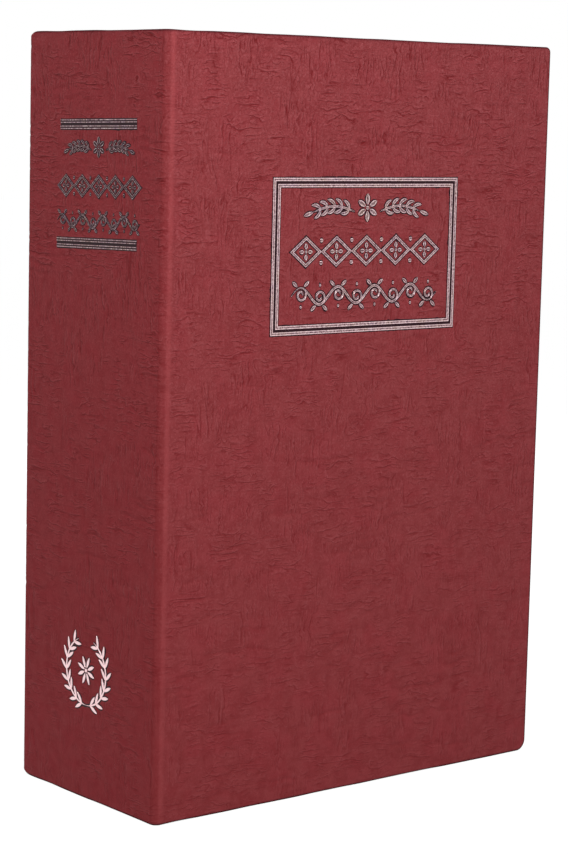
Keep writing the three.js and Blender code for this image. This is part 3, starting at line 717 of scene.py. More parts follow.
# %% Slabs of the case
EDGE_STEPS = np.array([0, 0.04, 0.12, 0.24, 0.4, 0.6, 0.85, 1.15, 1.5, 1.95, 2.45, 3.0])
TOP_CORNER, FOOT_CORNER = 1.4, 2.8
FACE_ROUNDING, INSIDE_ROUNDING = 0.4, 0.4
EDGE_WAVE, EDGE_WAVE_LENGTH = 0.16, 7
IRONED_FLAT = 0.8
WORN_CORNER, WORN_REACH = 0.9, 1.5
RIM = 0.35
BACK_CORNER_DARK = 0.55
CASE_STEP_Z = 0.42


def grid_lines(stops, steps, soft_low=False, soft_high=False):
    """Places of a grid's lines: even steps in each stretch between two stops, but close together next
    to an outer edge that is rounded."""
    stops = list(stops)
    ends = [np.empty(0), np.empty(0)]
    if soft_low:
        ends[0] = stops[0] + EDGE_STEPS[:-1]
        stops[0] = stops[0] + EDGE_STEPS[-1]
    if soft_high:
        ends[1] = stops[-1] - EDGE_STEPS[-2::-1]
        stops[-1] = stops[-1] - EDGE_STEPS[-1]
    stretches = [np.linspace(low, high, math.ceil((high - low) / step), endpoint=False)
                 for low, high, step in zip(stops[:-1], stops[1:], steps)]
    return np.concatenate([ends[0], *stretches, [stops[-1]], ends[1]])


def corner_reach(s, z):
    """How far a point lies past the centres of the corner circles, along and up, and their radius."""
    radius = np.where(z > TOP / 2, TOP_CORNER, FOOT_CORNER)
    along = np.abs(s - CASE_END / 2) - (CASE_END / 2 - radius)
    up = np.abs(z - TOP / 2) - (TOP / 2 - radius)
    return along, up, radius


def into_corners(s, z):
    """Draws a square grid into round corners: a becomes a * sqrt(1 - b squared / 2), and b likewise."""
    along, up, radius = corner_reach(s, z)
    in_corner = (along > 0) & (up > 0)
    a, b = along / radius, up / radius
    shift_s = np.where(in_corner, (a * np.sqrt(np.maximum(1 - b * b / 2, 0)) - a) * radius, 0)
    shift_z = np.where(in_corner, (b * np.sqrt(np.maximum(1 - a * a / 2, 0)) - b) * radius, 0)
    return s + shift_s * np.sign(s - CASE_END / 2), z + shift_z * np.sign(z - TOP / 2)


def inside_outline(s, z):
    """How far a point lies inside the case's outline, a rectangle with rounded corners."""
    along, up, radius = corner_reach(s, z)
    beyond = np.hypot(np.maximum(along, 0), np.maximum(up, 0))
    return radius - beyond - np.minimum(np.maximum(along, up), 0)


def rounding(distance, radius):
    """How far a face with a rounded edge lies below its flat part: a quarter circle of that radius."""
    left_over = radius - np.minimum(np.maximum(distance, 0), radius)
    return radius - np.sqrt(np.maximum(radius ** 2 - left_over ** 2, 0))


z_lines = grid_lines([FOOT, TOP], [CASE_STEP_Z], True, True)


def case_slab(s_lines, hollow=0.0):
    """The case along the given lines as a closed slab, its face already embossed. Between the fold's
    ends the inside may be hollowed, to make room for a lining."""
    s, z = into_corners(*np.meshgrid(s_lines, z_lines, indexing="ij"))
    distance = inside_outline(s, z)
    worn = WORN_CORNER * np.exp(-((s - SPINE_END - BACK_RADIUS) / WORN_REACH) ** 2)
    wave = EDGE_WAVE * (0.5 + 0.5 * noise(s, z, EDGE_WAVE_LENGTH, 400, 31)) + worn
    wave = wave * (1 - smooth(distance, 0, 4))
    z = z - wave * np.sign(z - TOP / 2) * (np.abs(z - TOP / 2) > TOP / 4)
    x, y, turn = outside_path(s)
    face = FACE_DEPTH + rounding(distance, FACE_ROUNDING)
    crisp = smooth(distance, 0.2, 1.5) * (1 - IRONED_FLAT * ironed_fold(s))
    face = face + CREASE_DEPTH * creases(s, z) * crisp
    outer = np.stack([x + face * np.sin(turn), y + face * np.cos(turn), z], -1)
    x, y = inside_path(s)
    lift = rounding(distance, INSIDE_ROUNDING) + hollow * smooth(distance, LINING_START - 0.3, LINING_START)
    inner = np.stack([x - lift * np.sin(turn), y - lift * np.cos(turn), z], -1)
    return slab(outer, inner)


def flat_place(mesh):
    """Where each point of a stretch lies on the flat sheet: s, z, depth, and how far from its outline."""
    x, y, z = points_of(mesh).T
    s, depth = sheet_place(x, y)
    return s, z, depth, inside_outline(s, z)


def flattened_inside(mesh):
    """Joins the small faces of the plain inside, where the grid is finer than it needs to be."""
    s, z, depth, distance = flat_place(mesh)

    def join(work):
        work.verts.ensure_lookup_table()
        plain = [work.verts[i] for i in np.flatnonzero((depth > WRAPPED / 2) & (distance > 1.2))]
        chosen = set(plain)
        edges = [edge for edge in work.edges if chosen.issuperset(edge.verts)]
        bmesh.ops.dissolve_limit(work, angle_limit=math.radians(0.5), verts=plain, edges=edges)

    reworked(mesh, join)


def leather(mesh, thin_inside=True):
    """Paints a stretch of the case from the flat place of each of its points."""
    if thin_inside:
        flattened_inside(mesh)
    s, z, depth, distance = flat_place(mesh)
    back_corner = band(s, SPINE_END + 0.9, BACK_COVER + 0.2, 0.5)
    # Where the mesh is creased; the material darkens it there as painted shade.
    paint(mesh, "crease", np.where(depth < WRAPPED / 2, creases(s, z), 0))
    # The fold's corner, where rubbing wear and a painted highlight lie.
    paint(mesh, "rubbed", band(s, CORNER - 0.05, CORNER + 0.2, 0.8))
    paint(mesh, "ironed", ironed_fold(s))
    # The spine, which the material paints in shade, with weaker marks.
    paint(mesh, "spine", band(s, SPINE, SPINE_END, 1.0))
    # The front corner's side that turns towards the spine, painted in shade.
    paint(mesh, "turned", band(s, CORNER + 1.2, SPINE - 0.4, 0.6))
    # A painted dark rim at the outline, and darker along the back's spine corner.
    paint(mesh, "edge", np.maximum(1 - smooth(distance, 0.05, 0.8), BACK_CORNER_DARK * back_corner))
    corners = np.empty(len(mesh.loops), int)
    mesh.loops.foreach_get("vertex_index", corners)
    starts = np.empty(len(mesh.polygons), int)
    mesh.polygons.foreach_get("loop_start", starts)
    nearest = np.minimum.reduceat(distance[corners], starts)
    rim = nearest < RIM
    mesh.materials.clear()
    mesh.materials.append(leatherette)
    mesh.materials.append(rubbed_rim)
    mesh.polygons.foreach_set("material_index", rim.astype(np.int32))
    mesh.calc_loop_triangles()
    print("a stretch of leatherette with", len(mesh.loop_triangles), "triangles")
    return mesh


# %% Cut the rooms for the boards
LINING_START = 3.0
PAST = 1.0
ROOM_CORNER = 1.5
inner_foot, inner_top = FOOT + CLOTH, TOP - CLOTH
window_foot, window_top = FOOT + TURN_IN, TOP - TURN_IN
board_front, board_back = FRONT + CLOTH, BACK - CLOTH


def board_room(x0, y0, y1):
    return block(x0, RIGHT - CLOTH, inner_foot, inner_top, y0, y1, ROOM_CORNER)


def window(x0, y0, y1):
    return block(x0, RIGHT - TURN_IN, window_foot, window_top, y0, y1)


spine_corner = [[LEFT + FRONT_RADIUS - ROOM_CORNER * math.sin(turn),
                 FRONT + FRONT_RADIUS - ROOM_CORNER * math.cos(turn)]
                for turn in np.linspace(0, QUARTER, 6)]
spine_inside = LEFT + CLOTH + BOARD
spine_room = prism([[spine_inside, board_back], [spine_inside, board_front], *spine_corner,
                    [LEFT + CLOTH, board_back]], inner_foot, inner_top, axis=2)
front_cuts = [board_room(COVER_X - 2 * ROOM_CORNER, board_front, board_front + BOARD),
              window(COVER_X - PAST, board_front + BOARD / 2, FRONT + WRAPPED + PAST)]
case_cuts = [spine_room, board_room(LEFT + CLOTH, board_back - BOARD, board_back),
             window(spine_inside, board_front, board_back - BOARD)]

front_slab = case_slab(grid_lines([0, COVER_EDGE], [0.62], soft_low=True))
fold_front_lines = grid_lines([COVER_EDGE, COVER_EDGE + 0.9, FOLD_MIDDLE], [0.15, 0.18])
fold_spine_lines = grid_lines([FOLD_MIDDLE, SPINE_EDGE], [0.18])
case_stops = [SPINE_EDGE, SPINE + 1.5, SPINE_END - 2.5, (SPINE_END + BACK_COVER) / 2, BACK_COVER + 3,
              CASE_END]
case_steps = [0.29, 0.76, 0.32, 0.32, 1.3]
case_slab_whole = case_slab(grid_lines(case_stops, case_steps, soft_high=True))


def show_leather(mesh, name, body, stands_for):
    return show(mesh, name, None, body, [stands_for])


show_leather(leather(carved(front_slab, front_cuts)), "front_cover_leather", "front_cover", "front_wrap")
fold_front = show_leather(leather(case_slab(fold_front_lines, LINING_THICK), False),
                          "fold_leather_cover_side", None, "joint_strip")
fold_spine = show_leather(leather(case_slab(fold_spine_lines, LINING_THICK), False),
                          "fold_leather_spine_side", None, "joint_strip")
show_leather(leather(carved(case_slab_whole, case_cuts)), "case_leather", "root", "spine_and_back_wrap")

# %% [markdown]
# ## The fold's two halves
# On the real book only the cloth between the boards bends. Here each half of the fold only has its
# placement baked into its mesh: neither is bent, and neither follows a moving part.

# %% Bake each half of the fold in place
BEND = 1.1


def bend_at_spine(piece):
    start, end = (SPINE_X * MM, FRONT * MM, 0), ((SPINE_X + BEND) * MM, FRONT * MM, 0)
    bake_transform(piece)
    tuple(start)
    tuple(end)


def bend_at_cover(piece):
    start, end = ((COVER_X - BEND) * MM, FRONT * MM, 0), (COVER_X * MM, FRONT * MM, 0)
    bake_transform(piece)
    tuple(start)
    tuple(end)


bend_at_spine(fold_spine)
bend_at_cover(fold_front)

# %% [markdown]
# ## Stamped foil
# A hot brass die presses silver foil on the leatherette. Its lines carry painted light: highlights on their
# shoulders, a duller middle and a painted shadow along their edges. Drawn as an image, they would blur
# close
# up, so each is a raised ribbon: a profile of a few points carried along a path. A bookbinder's stock
# ornaments fill the frame on the front and the rows on the spine: a laurel spray, a chain of lozenges with
# flowers, and a scrolling vine.

# %% A ribbon of foil along a path
# The tone column is painted light: 1 on the shoulders' painted highlight, lower in the middle, 0 in the
# painted shadow at the edge.
HALF_LINE = np.array([
    [-1, -0.4, -0.06, 0], [-1, -0.2, 0.01, 0], [-1, -0.04, 0.01, 0], [-0.86, 0, 0.08, 0.1],
    [-0.76, 0, 0.1, 1], [-0.56, 0, 0.095, 0.9], [-0.42, 0, 0.06, 0.35], [0, 0, 0.055, 0.3]])
HALF_RULE = np.array([
    [0, -1.5, -0.06, 0], [0, -1.28, 0.01, 0], [0, -1.14, 0.01, 0], [0, -1.08, 0.08, 0.1],
    [0, -1.04, 0.1, 1], [0, -0.9, 0.095, 0.9], [0, -0.84, 0.06, 0.35], [0, -0.57, 0.06, 0.35],
    [0, -0.5, 0.095, 0.9], [0, -0.38, 0.1, 1], [0, -0.33, 0.08, 0.1], [0, -0.27, 0.01, 0], [0, 0, 0.01, 0]])


def both_sides(half):
    """A whole profile from its left half, whose rows are: share of the width, offset, height and tone."""
    return np.concatenate([half, half[-2::-1] * [-1, -1, 1, 1]])


LINE, DOUBLE_RULE = both_sides(HALF_LINE), both_sides(HALF_RULE)


def stroke(path, width=1.0, profile=LINE, closed=False):
    """The profile's points (share times width plus offset, height, tone) at each point of a path, square
    to it. At a bend they move out by 1 over the cosine of half the bend, so the ribbon keeps its width."""
    path = np.asarray(path, float)
    step = np.roll(path, -1, axis=0) - path
    if not closed:
        step[-1] = step[-2]
    ahead = step / np.hypot(*step.T)[:, None]
    behind = np.roll(ahead, 1, axis=0)
    if not closed:
        behind[0] = ahead[0]
    both = ahead + behind
    side = np.stack([-both[:, 1], both[:, 0]], 1) / (1 + (ahead * behind).sum(1))[:, None]
    offset = profile[:, 0] * np.broadcast_to(width, len(path))[:, None] + profile[:, 1]
    flat = path[:, None] + side[:, None] * offset[:, :, None]
    tall = np.broadcast_to(profile[:, 2:], (len(path), len(profile), 2))
    return np.concatenate([flat, tall], 2), closed


def leaf(a, b, degrees, length, width, bend=0.0):
    """A pointed leaf from (a, b): its half width is half of width times the sine of pi t to the 0.8."""
    t = np.linspace(0, 1, 11)
    turn = math.radians(degrees) + bend * (t - 0.5)
    path = np.array([a, b]) + length * np.stack([t * np.cos(turn), t * np.sin(turn)], 1)
    return stroke(path, width / 2 * (0.06 + np.sin(math.pi * t) ** 0.8))


def dot(a, b, radius):
    """A round dot: a short path whose half width is the radius times sqrt(1 - t squared)."""
    t = np.linspace(-0.97, 0.97, 9)
    return stroke(np.stack([a + radius * t, np.full_like(t, b)], 1), radius * np.sqrt(1 - t * t))


def tapered(a, b, width):
    """A curve that swells from a point to its full width and back to a point."""
    t = np.linspace(0, 1, len(a))
    return stroke(np.stack([a, b], 1), width / 2 * np.minimum(1, 0.1 + 6 * np.minimum(t, 1 - t)))


def heading(a, b, i):
    """The way of a curve at its point i, in degrees."""
    return math.degrees(math.atan2(b[i + 1] - b[i], a[i + 1] - a[i]))


def leaf_pair(a, b, degrees, spread, length, width, bend=0.0):
    """Two leaves that part from one point, each by spread degrees, and bend back together."""
    return [leaf(a, b, degrees + way * spread, length, width, -way * bend) for way in (1, -1)]


# %% The ornaments, drawn round their middles in millimetres
def flower(a, b, petals, length, width, heart, turn=0.0):
    """Petals in a ring round a dot."""
    parts = [dot(a, b, heart)]
    for degrees in turn + 360 / petals * np.arange(petals):
        way = math.radians(degrees)
        start = a + 1.5 * heart * math.cos(way), b + 1.5 * heart * math.sin(way)
        parts.append(leaf(*start, degrees, length, width))
    return parts


def laurel_row(half=18.4, broad=1.0):
    """A six-petalled flower with a laurel spray on either side, its leaves in pairs. A broad row has
    wider strokes, for a place where it is stamped small."""
    parts = flower(0, 0, 6, 2.6, 1.35 * broad, 0.5, 30)
    for side in (-1, 1):
        t = np.linspace(0, 1, 30)
        a, b = side * (3.9 + (half - 5.6) * t), -0.9 + 1.3 * np.sin(math.pi * t)
        parts.append(tapered(a, b, 0.55 * broad))
        for i in range(4, 25, 5):
            parts += leaf_pair(a[i], b[i], heading(a, b, i), 52, 2.9, 0.85 * broad, 0.7)
        parts.append(leaf(a[-1], b[-1], heading(a, b, -2), 3.0, 0.95 * broad))
    return parts


def lozenge_row(count=5, pitch=9.3, broad=1.0):
    """A chain of lozenges with a four-petalled flower in each, and dots where two of them meet. Broad
    widens the strokes, as for the laurel."""
    parts = []
    for k in range(count):
        a = (k - (count - 1) / 2) * pitch
        outline = [[a - 4.2, 0], [a, -3.2], [a + 4.2, 0], [a, 3.2]]
        parts.append(stroke(outline, 0.36 * broad, closed=True))
        parts += flower(a, 0, 4, 1.45, broad, 0.36)
        for b in (-2.6, 2.6):
            if k < count - 1:
                parts.append(dot(a + pitch / 2, b, 0.5))
    return parts


def vine_row(half=22.8, wave=11.4, broad=1.0):
    """A stem that swings as a sine, with a curl (a spiral whose radius shrinks evenly) and two leaves in
    each swing. Broad widens the strokes."""
    a = np.linspace(-half, half, 120)
    parts = [tapered(a, 2.0 * np.sin(2 * math.pi * a / wave), 0.62 * broad)]
    swings = int(round(4 * half / wave))
    for k in range(swings):
        middle = -half + wave / 4 + k * wave / 2
        top = math.copysign(1, math.sin(2 * math.pi * middle / wave))
        t = np.linspace(0, 1, 26)
        turn, reach = top * (math.pi / 2 - 8.2 * t), 1.75 - 1.35 * t
        curl_a = middle + 0.15 + reach * np.cos(turn)
        curl_b = top * 0.35 + reach * np.sin(turn)
        parts.append(tapered(curl_a, curl_b, 0.5 * broad))
        parts.append(leaf(middle - 1.0, top * 2.2, top * 140, 2.0, 0.8 * broad))
        parts.append(leaf(middle + 1.0, top * 2.2, top * 40, 2.0, 0.8 * broad))
        parts.append(dot(middle + 0.15, -top * 2.5, 0.34))
    return parts


def wreath(radius=6.1):
    """Two laurel branches that rise from the foot of a ring and part at its top, round a small flower."""
    parts = flower(0, 0.2, 8, 2.1, 0.62, 0.36, 22.5)
    for side in (-1, 1):
        t = np.linspace(0, 1, 40)
        turn = math.radians(-90) + side * math.radians(158) * t
        parts.append(tapered(radius * np.cos(turn), radius * np.sin(turn), 0.34))
        for k in range(8):
            place = turn[3 + int(4.6 * k)]
            a, b = radius * math.cos(place), radius * math.sin(place)
            parts += leaf_pair(a, b, math.degrees(place) + side * 90, 40, 2.3, 0.6)
    return parts


# %% Foil as a material
# The dark red is the painted shadow at the foil's edges and the bare ground where the foil is worn; the
# white is a painted highlight on the lines' shoulders.
FOIL, FOIL_BRIGHT, FOIL_DULL, BARE_AND_SHADOW_RED = "#bb979b", "#f6dcdd", "#66454d", "#2a1018"
FOIL_VIOLET, FOIL_STRAW, FOIL_HIGHLIGHT_WHITE = "#ab92ab", "#bb9f88", "#fbd9db"
FOIL_GLOSS = 0.1

stamped_foil, tree, shader = new_material("hot_stamped_silver_foil")
tone = attribute(tree, "foil")
speckle = grain(tree, 0.5, 2, 8)
metal = layered(tree, FOIL,
                (ramp(tree, grain(tree, 2.6, 1, 3), 0.5, 0.7, 0, 0.6), FOIL_VIOLET),
                (ramp(tree, grain(tree, 2.6, 1, 6), 0.52, 0.7, 0, 0.6), FOIL_STRAW),
                (ramp(tree, speckle, 0.5, 0.64, 0, 0.9), FOIL_BRIGHT),
                (ramp(tree, speckle, 0.34, 0.48, 0.9, 0), FOIL_DULL),
                # Painted highlight on the shoulders.
                (ramp(tree, tone, 1.05, 1.5), FOIL_HIGHLIGHT_WHITE))
# The share of foil: its painted tone across the line, less where the foil is worn away.
worn = times(tree, tone, ramp(tree, grain(tree, 0.8, 3, 9), 0.3, 0.42, 0.5, 1))
feed(tree, shader, Base_Color=layered(tree, BARE_AND_SHADOW_RED, (worn, metal)),
     Metallic=ramp(tree, tone, 0.1, 0.6, 0, 0.8), Roughness=ramp(tree, speckle, 0.35, 0.65, 0.3, 0.46),
     Specular_IOR_Level=FOIL_GLOSS, Normal=bumped(tree, grain(tree, 0.5, 2, 4), 0.04))

# %% Stamp the front and the spine
SPINE_SLOPE = math.radians(1.1)
# The foil's painted light at each place, as strength and power of its tone; on the spine's rows only the
# rims stay bright.
SPINE_LIGHT = (0.9, 4.0)
FRONT_LIGHT = (1.42, 1.0)
EMBLEM_LIGHT = (1.8, 0.1)


def turned_about(parts, centre, size=1.0, slope=0.0, light=FRONT_LIGHT):
    """Sets an ornament at its centre: scaled by size and turned by slope. Its foil's tone becomes a
    strength times the tone to a power, and a high power leaves only the rims of a line bright."""
    strength, power = light
    turn = size * np.array([[math.cos(slope), math.sin(slope)], [-math.sin(slope), math.cos(slope)]])
    moved = []
    for points, closed in parts:
        flat = points[..., :2] @ turn + np.asarray(centre)
        tone = strength * points[..., 3:] ** power
        moved.append((np.concatenate([flat, points[..., 2:3], tone], 2), closed))
    return moved


def stamp(name, parts, place, body):
    """Joins ribbons into one piece of foil. Place turns (a, b, height) into x, y and z."""
    points, faces, start = [], [], 0
    for part, closed in parts:
        rings, around = part.shape[:2]
        faces += ring_faces(rings, around, start, closed).tolist()
        if not closed:
            ends = (start, start + (rings - 1) * around)
            faces += [list(range(first, first + around)) for first in ends]
        points.append(part.reshape(-1, 4))
        start += rings * around
    a, b, height, tone = np.concatenate(points).T
    mesh = mesh_from(name, np.stack(place(a, b, height), 1), faces)
    # The tone: where foil lies, with its painted highlights and shadow.
    paint(mesh, "foil", tone)
    print(name, "has", len(parts), "strokes and", len(faces), "faces")
    show(mesh, name, stamped_foil, body)


def on_front(a, b, height):
    return a, FRONT + FACE_DEPTH - height, b


def on_spine(a, b, height):
    return LEFT + FACE_DEPTH - height, FRONT - a, b


FRAME_U0, FRAME_U1, FRAME_Z0, FRAME_Z1 = 31.9, 87.2, 112.3, 146.45
frame_path = rounded_outline(LEFT + FRAME_U0, LEFT + FRAME_U1, FRAME_Z0, FRAME_Z1)
middle_of_frame = LEFT + (FRAME_U0 + FRAME_U1) / 2
front_parts = turned_about([stroke(frame_path, 1.0, DOUBLE_RULE, closed=True)], (0, 0))
for row, z in ((laurel_row(), 140.5), (lozenge_row(), 130.4), (vine_row(), 120.1)):
    front_parts += turned_about(row, (middle_of_frame, z))
stamp("front_foil", front_parts, on_front, "front_cover")

RULE_ENDS = [[(-41.3, 158.4), (-11.0, 159.1)], [(-42.4, 131.0), (-10.5, 131.95)]]
SPINE_ROWS = [(laurel_row(broad=1.1), (-25.8, 153.5), 0.72),
              (lozenge_row(broad=1.2), (-25.6, 144.6), 0.71),
              (vine_row(broad=1.1), (-25.8, 136.5), 0.72)]
spine_parts = []
for ends in RULE_ENDS:
    path = np.linspace(*np.array(ends), 12)
    spine_parts += turned_about([stroke(path, 1.0, DOUBLE_RULE)], (0, 0), light=SPINE_LIGHT)
for row, centre, size in SPINE_ROWS:
    spine_parts += turned_about(row, centre, size, SPINE_SLOPE, SPINE_LIGHT)
spine_parts += turned_about(wreath(), (-28.1, 30.7), 1.32, SPINE_SLOPE, EMBLEM_LIGHT)
stamp("spine_foil", spine_parts, on_spine, "root")

# %% [markdown]
# ## The page block
# The pages are a cream plastic moulding. Its three open sides are ridged like the edges of a hundred
# sheets, and the side at the spine is flat. A texture could draw the sheets, but from the side their
# uneven edges catch light, so each sheet is a step in the mesh, with its own small setback.

# %% Page edges
PAGE_PITCH = 0.48
PAGE_SHARE = np.array([0.0, 0.16, 0.5, 0.84])
PAGE_FRONT_EDGE = 0.5
PAGE_LEAST, PAGE_UNEVEN, PAGE_SLOW, PAGE_GROOVE = 0.05, 0.17, 0.07, 0.2
page_low, page_high = box_of("page_frame")
page_setback = np.random.default_rng(5).uniform(0, 1, 400)


def page_inset(y, along):
    """How far the moulding's side lies inside its box at a depth y: each sheet has a random setback, the
    edge between two sheets is a groove (the fourth power of the distance from the sheet's middle), and
    slow noise along the sheet bends it."""
    sheet = (y - page_low[1]) / PAGE_PITCH
    share = 2 * (sheet % 1) - 1
    uneven = PAGE_UNEVEN * page_setback[np.floor(sheet).astype(int) % 400]
    slow = PAGE_SLOW * (1 + noise(along, y, 23, 1.4, 41)) / 2
    grooves = PAGE_GROOVE * share ** 4
    return PAGE_LEAST + uneven + slow + grooves + rounding(y - page_low[1], PAGE_FRONT_EDGE)


def page_outline(x0, x1, z0, z1):
    """Points round the block with the direction in which each may be inset."""
    x, z = np.linspace(x0, x1, 18), np.linspace(z0, z1, 26)[1:-1]
    points = np.concatenate([np.stack([x, np.full_like(x, z0)], 1), np.stack([np.full_like(z, x1), z], 1),
                             np.stack([x[::-1], np.full_like(x, z1)], 1)])
    on_side, on_foot, on_top = points[:, 0] == x1, points[:, 1] == z0, points[:, 1] == z1
    return points, np.stack([-on_side.astype(float), on_foot.astype(float) - on_top], 1)


sheets = int((page_high[1] - page_low[1]) / PAGE_PITCH)
page_levels = (page_low[1] + PAGE_PITCH * (np.arange(sheets)[:, None] + PAGE_SHARE)).ravel()
page_levels = np.union1d(page_levels, page_low[1] + EDGE_STEPS[:5])
page_levels = np.append(page_levels[page_levels < page_high[1] - 0.02], page_high[1])
around_pages, inwards = page_outline(page_low[0], page_high[0], page_low[2], page_high[2])
levels, along = np.meshgrid(page_levels, around_pages.sum(1), indexing="ij")
page_rings = around_pages + inwards * page_inset(levels, along)[:, :, None]
print("the page block has", sheets, "sheets")

# %% Hollow it and open it for the steel box
PAGE_WALL, RIDGE = 1.6, 0.5
OPEN_LEFT, OPEN_RIGHT = page_low[0] + 7, page_high[0] - 9
OPEN_FOOT, OPEN_TOP = page_low[2] + 9, page_high[2] - 9
OPEN_CORNER, OPEN_EASE = 0.6, 0.7


def page_opening(grown=0.0):
    return rounded_outline(OPEN_LEFT - grown, OPEN_RIGHT + grown, OPEN_FOOT - grown, OPEN_TOP + grown,
                           OPEN_CORNER + grown)


hollow = block(page_low[0] + PAGE_WALL, page_high[0] - RIDGE - PAGE_WALL,
               page_low[2] + RIDGE + PAGE_WALL, page_high[2] - RIDGE - PAGE_WALL,
               page_low[1] + PAGE_WALL, page_high[1] + PAST)
hollow = carved(hollow, [prism(page_opening(PAGE_WALL), page_low[1], page_high[1] + 2 * PAST)])
ease = np.linspace(0, QUARTER, 6)
flare = np.concatenate([[OPEN_EASE], OPEN_EASE * (1 - np.sin(ease)), [0]])
flare_end = page_high[1] - page_low[1] + PAST
flare_y = page_low[1] + np.concatenate([[-PAST], OPEN_EASE * (1 - np.cos(ease)), [flare_end]])
opening = stacked([page_opening(grown) for grown in flare], flare_y)
pages = carved(stacked(page_rings, page_levels), [hollow, opening])
x, y, z = points_of(pages).T
near_side = RIDGE + 0.1
outside = (x > page_high[0] - near_side) | (z < page_low[2] + near_side) | (z > page_high[2] - near_side)
share = 2 * (((y - page_low[1]) / PAGE_PITCH) % 1) - 1
paint(pages, "groove", np.where(outside, share ** 4, 0))

# %% [markdown]
# ## Cream plastic
# The moulding is ABS in the colour of old paper, a little glossy on its flat front rim and darker in the
# grooves between the sheets. Faint lines finer than the mesh run with the sheets.

# %% Page plastic
CREAM, CREAM_SHADE, PAGE_GROOVE_TONE = "#e4dcc6", "#dfd5bb", "#ad9b78"
page_plastic, tree, shader = new_material("cream_abs_moulded_like_pages")
fine_sheets = grain(tree, (40, 0.22, 40), 2, 1)
colour = layered(tree, CREAM, (ramp(tree, grain(tree, 18, 2), 0.35, 0.65), CREAM_SHADE),
                 (ramp(tree, fine_sheets, 0.38, 0.55, 0.3, 0), PAGE_GROOVE_TONE),
                 # Darker in the grooves between the sheets.
                 (ramp(tree, attribute(tree, "groove"), 0.15, 1, 0, 0.75), PAGE_GROOVE_TONE))
feed(tree, shader, Base_Color=colour, Roughness=ramp(tree, grain(tree, 1.2, 2), 0.3, 0.7, 0.42, 0.55),
     IOR=1.53, Normal=bumped(tree, fine_sheets, 0.02, below=bumped(tree, grain(tree, 0.5, 2), 0.008)))
show(pages, "page_block", page_plastic, "root", ["page_frame"])

# %% [markdown]
# ## Sheet steel, boards and papers
# Steel sheet has no knife edges: a press leaves each bend and cut a little round. A copy of a measured
# part with its edges bevelled shows that, and keeps every hole in its place. The black coat is baked
# powder, which sets with a fine pebble. Zinc plate is paler, cool and cloudy, with faint rolling lines.

# %% Coats and platings
def patchy(name, colours, patches, share, relief, depth, rough, rough_by=None, **inputs):
    """A material of two colours that lie in patches. Patches, relief and rough_by are what grain takes,
    share and rough what ramp takes, and rough may be one number. It has the relief's grain if no other."""
    material, tree, shader = new_material(name)
    colour = layered(tree, colours[0], (ramp(tree, grain(tree, *patches), *share), colours[1]))
    if isinstance(rough, tuple):
        rough = ramp(tree, grain(tree, *(rough_by or relief)), *rough)
    feed(tree, shader, Base_Color=colour, Roughness=rough, Normal=bumped(tree, grain(tree, *relief), depth),
         **inputs)
    return material


ROLLED = (12, 0.35, 0.35)
powder_coat = patchy("black_powder_coat_on_steel", ("#1b1c1e", "#292a2d"), (7, 2), (0.4, 0.65),
                     (0.55, 2), 0.03, (0.35, 0.65, 0.42, 0.6))
zinc_plate = patchy("zinc_plated_steel", ("#aeb1b3", "#9a9c98"), (3.2, 3), (0.35, 0.65),
                    (ROLLED, 2), 0.006, (0.3, 0.7, 0.28, 0.46), Metallic=1.0)
nickel_plate = patchy("bright_nickel_plate", ("#c9c5bc", "#b9b3a8"), (2.6, 3), (0.4, 0.7),
                      ((0.3, 9, 0.3), 1), 0.004, (0.35, 0.7, 0.12, 0.26), (1.6, 3, 2), Metallic=1.0)
turned_brass = patchy("turned_brass", ("#c8a253", "#9c7a38"), (2.8, 3), (0.4, 0.7),
                      (0.4, 2), 0.01, (0.3, 0.7, 0.22, 0.4), (0.9, 2), Metallic=1.0)

# %% Board, paper, cloth and foam
MATT, FAINT_GLOSS = 0.95, 0.2
FIBRES = ((2.2, 0.25, 0.5), 3, 0.0, 1.0)
pressed_board = patchy("pressed_greyboard", ("#8b8378", "#6f675c"), FIBRES, (0.4, 0.65),
                       FIBRES, 0.05, MATT, Specular_IOR_Level=FAINT_GLOSS)
closed_cell_foam = patchy("closed_cell_foam", ("#1d1d1f", "#323234"), (0.45, 1), (0.42, 0.6),
                          (0.45, 1), 0.12, MATT, Specular_IOR_Level=FAINT_GLOSS)

PAPER, PAPER_WARM, PAPER_FLUFF = "#ebe4d2", "#e6dcc6", "#cdbf9f"
laid_paper, tree, shader = new_material("cream_endpaper")
fluff = grain(tree, (1.4, 0.4, 0.6), 3, waver=0.8)
colour = layered(tree, PAPER, (ramp(tree, grain(tree, 24, 2), 0.35, 0.65), PAPER_WARM),
                 (ramp(tree, fluff, 0.45, 0.75, 0, 0.35), PAPER_FLUFF))
feed(tree, shader, Base_Color=colour, Roughness=0.88, Specular_IOR_Level=0.25,
     Normal=bumped(tree, fluff, 0.02))

CLOTH_THREAD, CLOTH_SHADE = "#cdc1a8", "#8f8369"
CLOTH_PITCH = 0.62
bookbinders_mull, tree, shader = new_material("woven_mull")
turns = 2 * math.pi / (CLOTH_PITCH * MM)
waves = [math_of(tree, "SINE", times(tree, place_of(tree)[way], turns)) for way in "XZ"]
weave = ramp(tree, math_of(tree, "MAXIMUM", *waves), -1, 1)
feed(tree, shader, Base_Color=layered(tree, CLOTH_SHADE, (ramp(tree, weave, 0.3, 0.8), CLOTH_THREAD)),
     Roughness=MATT, Specular_IOR_Level=FAINT_GLOSS, Normal=bumped(tree, weave, 0.08))

# %% Parts that the frame already shapes well
def finish_node(material, *names):
    """Gives CAD parts that stay as they are a better material."""
    for name in names:
        slots = nodes[name].data.materials
        slots.clear()
        slots.append(material)


finish_node(pressed_board, "front_board", "spine_board", "back_board")
finish_node(laid_paper, "spine_lining", "back_endpaper")
finish_node(bookbinders_mull, "back_joint_lining")
finish_node(turned_brass, *[name for name in nodes if name.startswith("lock_wafer")])


